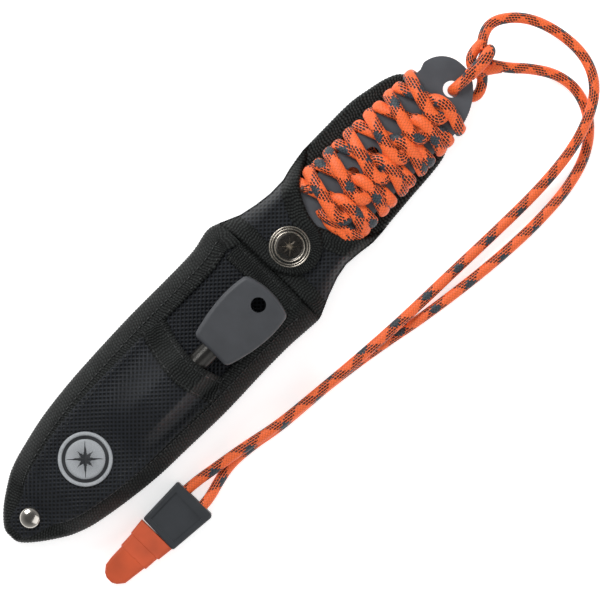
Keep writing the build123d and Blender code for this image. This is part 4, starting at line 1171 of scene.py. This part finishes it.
# Each second colour is painted shade between the stitches.
grey_thread = make_embroidery("grey rayon embroidery", "c6cace", "7c8084")
dark_thread = make_embroidery("black rayon embroidery", "2c2f33", "101113")
patch = satin_ring("emblem_patch", 0.02, EMBLEM_R + 0.1, PATCH_Z + 0.15, 0.15, dark_thread,
                   "embroidery")
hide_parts("emblem")
for word, inner, outer, rise in (("ring", EMBLEM_R * 0.86, EMBLEM_R, 0.42),
                                 ("disc", 0.02, EMBLEM_R * 0.73, 0.26)):
    satin_ring(f"emblem_{word}", inner, outer, PATCH_Z + 0.3, rise, grey_thread, "embroidery")


print(f"emblem {2 * EMBLEM_R:.1f} mm across")

# %% [markdown]
# A compass star has long and short arms in turn. Each arm is a ridge that falls to its sides, so
# one half catches the light. The same star is used again, smaller, on the snap.

# %% Star
STAR_WAIST = 0.27          # where the arms meet, as a share of the longest arm


def star(name, long, short, base, rise, finish, slot, body, centre, turn=0.0):
    """A ridged star of eight points, with every second point shorter."""
    points = [(centre[0], centre[1], base + rise)]
    for k in range(16):
        reach = (long if k % 4 == 0 else short) if k % 2 == 0 else long * STAR_WAIST
        a = math.radians(22.5 * k + turn)
        points.append((centre[0] + reach * math.cos(a), centre[1] + reach * math.sin(a), base))
    points.append((centre[0], centre[1], base - 0.15))
    faces = [(0, 1 + k, 1 + (k + 1) % 16) for k in range(16)]
    faces += [(17, 1 + (k + 1) % 16, 1 + k) for k in range(16)]
    corners = [points[v][:2] for face in faces for v in face]
    piece = make_mesh(name, metres(points), faces, np.array(corners) / SATIN_PITCH)
    piece.data.polygons.foreach_set("use_smooth", [False] * len(faces))
    return settle(piece, finish, body, slot)


star("emblem_star", 7.2, 4.6, PATCH_Z + 0.5, 0.45, dark_thread, "embroidery", "sheath", EMBLEM, 45)
print("one star on the emblem")

# %% [markdown]
# Nickel plating is bright and slightly warm. On the rivet it is polished. On the snap it is
# darkened, and its raised rings and star are painted brighter by height, a painted highlight. The
# plastics and rubber are moulded, so they carry the mould's fine grain. The blade's steel has a
# dull grey coat with a grain of its own.

# %% Metals and plastics


def make_plate(name, colour, roughness, scratch_mm, bump_mm, painted_bright=None):
    """Plated metal with fine random scratches. The last argument is the height above which its
    colour is painted bright, a painted highlight.
    """
    material, tree, shader = start_material(name, colour, roughness, 1.0)
    place = add(tree, "ShaderNodeTexCoord").outputs["Object"]
    grain = add(tree, "ShaderNodeTexNoise", {"Vector": place, "Scale": PER_METRE / scratch_mm,
                                             "Detail": 5.0, "Distortion": 1.5})
    add(tree, "ShaderNodeMapRange", {0: grain, 1: 0.3, 2: 0.7, 3: roughness * 0.7,
                                     4: roughness * 1.4}, to=shader.inputs["Roughness"])
    # Above the given height the plate's colour is painted bright, a painted highlight; below it,
    # the darker plate.
    if painted_bright:
        height = add(tree, "ShaderNodeSeparateXYZ", {0: place}).outputs["Z"]
        painted_bright_share = add(tree, "ShaderNodeMapRange", {0: height, 1: (painted_bright - 0.2) * MM, 2: painted_bright * MM})
        add(tree, "ShaderNodeValToRGB", {0: painted_bright_share}, stops=((0.0, "5c5854"), (1.0, colour)),
            to=shader.inputs["Base Color"])
    add(tree, "ShaderNodeBump", {"Height": grain, "Distance": bump_mm * MM},
        to=shader.inputs["Normal"])
    return material


def make_moulded(name, colour, roughness, grain_mm, bump_mm, metallic=0.0):
    """A surface with a fine even grain, and a slightly uneven colour."""
    material, tree, shader = start_material(name, colour, roughness, metallic,
                                            Specular_IOR_Level=0.5)
    place = add(tree, "ShaderNodeTexCoord").outputs["Object"]
    grain = add(tree, "ShaderNodeTexNoise", {"Vector": place, "Scale": PER_METRE / grain_mm,
                                             "Detail": 3.0})
    cloud = add(tree, "ShaderNodeTexNoise", {"Vector": place, "Scale": PER_METRE / 9})
    value = add(tree, "ShaderNodeMapRange", {0: cloud, 1: 0.3, 2: 0.7, 3: 0.88, 4: 1.12})
    add(tree, "ShaderNodeHueSaturation", {"Color": srgb(colour), "Value": value},
        to=shader.inputs["Base Color"])
    add(tree, "ShaderNodeMapRange", {0: grain, 1: 0.3, 2: 0.7, 3: roughness - 0.06,
                                     4: roughness + 0.08}, to=shader.inputs["Roughness"])
    add(tree, "ShaderNodeBump", {"Height": grain, "Distance": bump_mm * MM},
        to=shader.inputs["Normal"])
    return material


bright_nickel = make_plate("polished nickel plate", "cfcac2", 0.16, 0.5, 0.006)
# The snap's raised rings and star are painted bright above this height, a painted highlight.
dark_nickel = make_plate("blackened nickel plate", "c4bdb2", 0.26, 1.2, 0.0004,
                         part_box("snap_cap")[0].z / MM + 0.68)
coated_steel = make_moulded("titanium-coated steel", "5e6065", 0.42, 0.16, 0.02, 0.55)
grip_nylon = make_moulded("glass-filled nylon", "3d3f43", 0.5, 0.22, 0.03)
whistle_abs = make_moulded("black ABS", "303337", 0.42, 0.25, 0.015)
soft_orange = make_moulded("orange thermoplastic rubber", "c9522a", 0.55, 0.2, 0.02)
liner_pp = make_moulded("black polypropylene", "1c1d1f", 0.45, 0.3, 0.02)
eva_foam = make_moulded("closed-cell EVA foam", "232425", 0.85, 0.6, 0.15)
ferro = make_moulded("ferrocerium rod", "3a3937", 0.3, 0.12, 0.02, 0.8)
melted = make_moulded("melted nylon", "4a2a1c", 0.35, 0.4, 0.03)
wrap_bead.data.materials.append(melted)
print(len(bpy.data.materials), "materials so far")

# %% [markdown]
# The hard parts are the CAD's own solids. Each takes the finish of what it is made of.

# %% Finishes of the hard parts

for names, finish, slot in (
        (("tip_rivet_post", "tip_rivet_washer"), bright_nickel, "rivet_nickel"),
        (("snap_socket", "snap_stud", "snap_post"), dark_nickel, "snap_nickel"),
        (("knife_steel",), coated_steel, "coated_steel"),
        (("whistle_body",), whistle_abs, "whistle_black"),
        (("whistle_mouthpiece",), soft_orange, "whistle_orange"),
        (("fire_starter_handle",), grip_nylon, "grip_plastic"),
        (("fire_starter_rod",), ferro, "ferro_rod"),
        (("liner_back", "liner_front"), liner_pp, "liner_plastic")):
    for name in names:
        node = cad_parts[name]
        node.data.materials.clear()
        node.data.materials.append(finish)
        print(name, "is", finish.name)

# %% [markdown]
# A thin pad of closed-cell foam keeps the blade guard off the back panel. It is soft, so its
# faces crown a little between its edges and its corners are round. It is hidden until the sheath
# is cut open, so a plain cushion shape is enough.

# %% Foam pad
PAD_STEP = 1.5
PAD_ACROSS = 25            # points across the pad
PAD_CROWN = 0.12
PAD_FROM, PAD_TO = 23.0, 121.5
PAD_EDGE = [(21, 9.0), (48, 15.4), (116, 15.4), (122, 14.4)]       # y, and half width there
PAD_SHIFT = -0.3
pad_low, pad_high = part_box("back_foam")
pad_y = np.arange(PAD_FROM, PAD_TO, PAD_STEP)
pad_share = np.linspace(-1, 1, PAD_ACROSS)
pad_x = np.interp(pad_y, *np.transpose(PAD_EDGE))[:, None] * pad_share + PAD_SHIFT
along = (pad_y - pad_y.mean()) / np.ptp(pad_y) * 2
body_share = (1 - np.abs(pad_share[None]) ** 6) * (1 - np.abs(along[:, None]) ** 14)
pad_middle = (pad_low.z + pad_high.z) / 2 / MM
pad_half = (pad_high.z - pad_low.z) / 2 / MM - PAD_CROWN
thick = pad_half * (0.35 + 0.65 * np.sqrt(body_share)) + PAD_CROWN * body_share - 0.03
pad_grid = np.stack([pad_x, np.broadcast_to(pad_y[:, None], pad_x.shape)], -1)
pad_faces = [metres(np.dstack([pad_grid, pad_middle + side * thick]))[:, ::-1] for side in (1, -1)]
pad = sheet_mesh("foam_pad", *pad_faces, pad_grid[:, ::-1])
settle(pad, eva_foam, "sheath", "foam", "back_foam")
print(f"foam pad {np.ptp(pad_y):.0f} mm long")

# %% [markdown]
# The snap's cap is pressed from sheet metal. Its rings and the small star in its middle are part
# of the pressing, so they are one turned profile and a star that stands on it. The rivet's domed
# head is turned the same way.

# %% Snap cap and rivet head
snap_low, snap_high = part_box("snap_cap")
SNAP = [(a + b) / 2 / MM - c / MM for a, b, c in zip(snap_low[:2], snap_high[:2], RIVET[:2])]
SNAP_Z = snap_low.z / MM
SNAP_PROFILE = [(7.8, 0.0), (7.85, 0.35), (7.72, 0.75), (7.5, 0.86), (7.28, 0.7), (7.15, 0.36),
                (7.0, 0.36), (6.88, 0.7), (6.7, 0.84), (6.5, 0.7), (6.3, 0.34), (5.95, 0.3),
                (5.8, 0.62), (5.62, 0.95), (5.42, 0.95), (5.25, 0.62), (5.1, 0.42), (4.4, 0.42),
                (3.0, 0.44), (1.5, 0.46), (0.02, 0.47)]
RIVET_PROFILE = [(3.9, 0.0), (3.96, 0.3), (3.86, 0.66), (3.55, 1.02), (3.05, 1.34), (2.4, 1.62),
                 (1.6, 1.84), (0.8, 1.95), (0.02, 1.98)]
TURNED_SIDES = 96


def turned(name, centre, profile, base):
    """A solid of revolution about an upright axis, from (radius, height) points in mm."""
    turn = np.linspace(0, 2 * np.pi, TURNED_SIDES, endpoint=False)
    rings = [np.column_stack([centre[0] + r * np.cos(turn), centre[1] + r * np.sin(turn),
                              np.full(TURNED_SIDES, base + z)]) for r, z in profile]
    share = np.linspace(0, 1, TURNED_SIDES + 1)
    pattern = np.stack([np.column_stack([share, np.full(TURNED_SIDES + 1, float(k))])
                        for k in range(len(profile))])
    return swept(name, metres(np.array(rings)), pattern)


snap_face = turned("snap_face", SNAP, SNAP_PROFILE, SNAP_Z)
settle(snap_face, dark_nickel, "strap_left", "snap_nickel", "snap_cap")
star("snap_star", 4.6, 3.3, SNAP_Z + 0.45, 1.25, dark_nickel, "snap_nickel", "strap_left", SNAP, 45)
dome = turned("rivet_dome", [0.0, 0.0], RIVET_PROFILE, rivet_low.z / MM)
settle(dome, bright_nickel, "sheath", "rivet_nickel", "tip_rivet_cap")
print(f"snap {2 * SNAP_PROFILE[0][0]:.1f} mm across, rivet {2 * RIVET_PROFILE[0][0]:.1f} mm")

# %% [markdown]
# A plain pale floor and soft light from above, with the main light from the upper left. The floor
# glows a little, as lit paper does under a strong lamp, so its shadows are nearly white. The
# surroundings are bright low down and dim overhead, as in a white tent, so that domed metal shows
# a bright rim round a dark middle.

# %% Floor and lights
FLOOR_GAP = 0.3            # the floor lies this far below the object, in mm
LIGHT_AIM = (15, 129, 0)
bpy.ops.mesh.primitive_plane_add(size=6.0, location=(0, 0, cad_box[0].z - FLOOR_GAP * MM))
floor = bpy.context.object
floor.name = "floor"
paper = start_material("white paper", "f4f4f4", 0.9, Emission_Strength=0.58,
                       Emission_Color=srgb("ffffff"))[0]
floor.data.materials.append(paper)


def soft_light(name, turn, height, reach, size, watts, reflected=True):
    """An area light round the knife, turned from the view's up direction, facing its middle."""
    lamp = bpy.data.lights.new(name, "AREA")
    lamp.size = size
    lamp.energy = watts
    holder = bpy.data.objects.new(name, lamp)
    holder.visible_glossy = reflected
    angle = VIEW_TURN + math.radians(90 + turn)
    aim = at(*LIGHT_AIM)
    holder.location = aim + Vector((math.cos(angle) * reach, math.sin(angle) * reach, height))
    holder.rotation_euler = (aim - holder.location).to_track_quat("-Z", "Y").to_euler()
    bpy.context.scene.collection.objects.link(holder)


soft_light("key", 35, 0.75, 0.75, 0.45, 7.2)
soft_light("fill", -120, 0.8, 0.7, 0.9, 3.0)
soft_light("top", 0, 1.3, 0.05, 0.9, 3.5, reflected=False)
world = bpy.data.worlds.new("studio")
world.use_nodes = True
sky = world.node_tree.nodes["Background"]
sky.inputs["Color"].default_value = (1, 1, 1, 1)
looking = add(world.node_tree, "ShaderNodeTexCoord").outputs["Generated"]
upward = add(world.node_tree, "ShaderNodeSeparateXYZ", {0: looking}).outputs["Z"]
add(world.node_tree, "ShaderNodeMapRange", {0: upward, 1: 0.0, 2: 0.9, 3: 0.62, 4: 0.09},
    to=sky.inputs["Strength"])
bpy.context.scene.world = world
bpy.context.scene.view_settings.view_transform = "Standard"
print("lit by", ", ".join(lamp.name for lamp in bpy.data.lights), "and the surroundings")
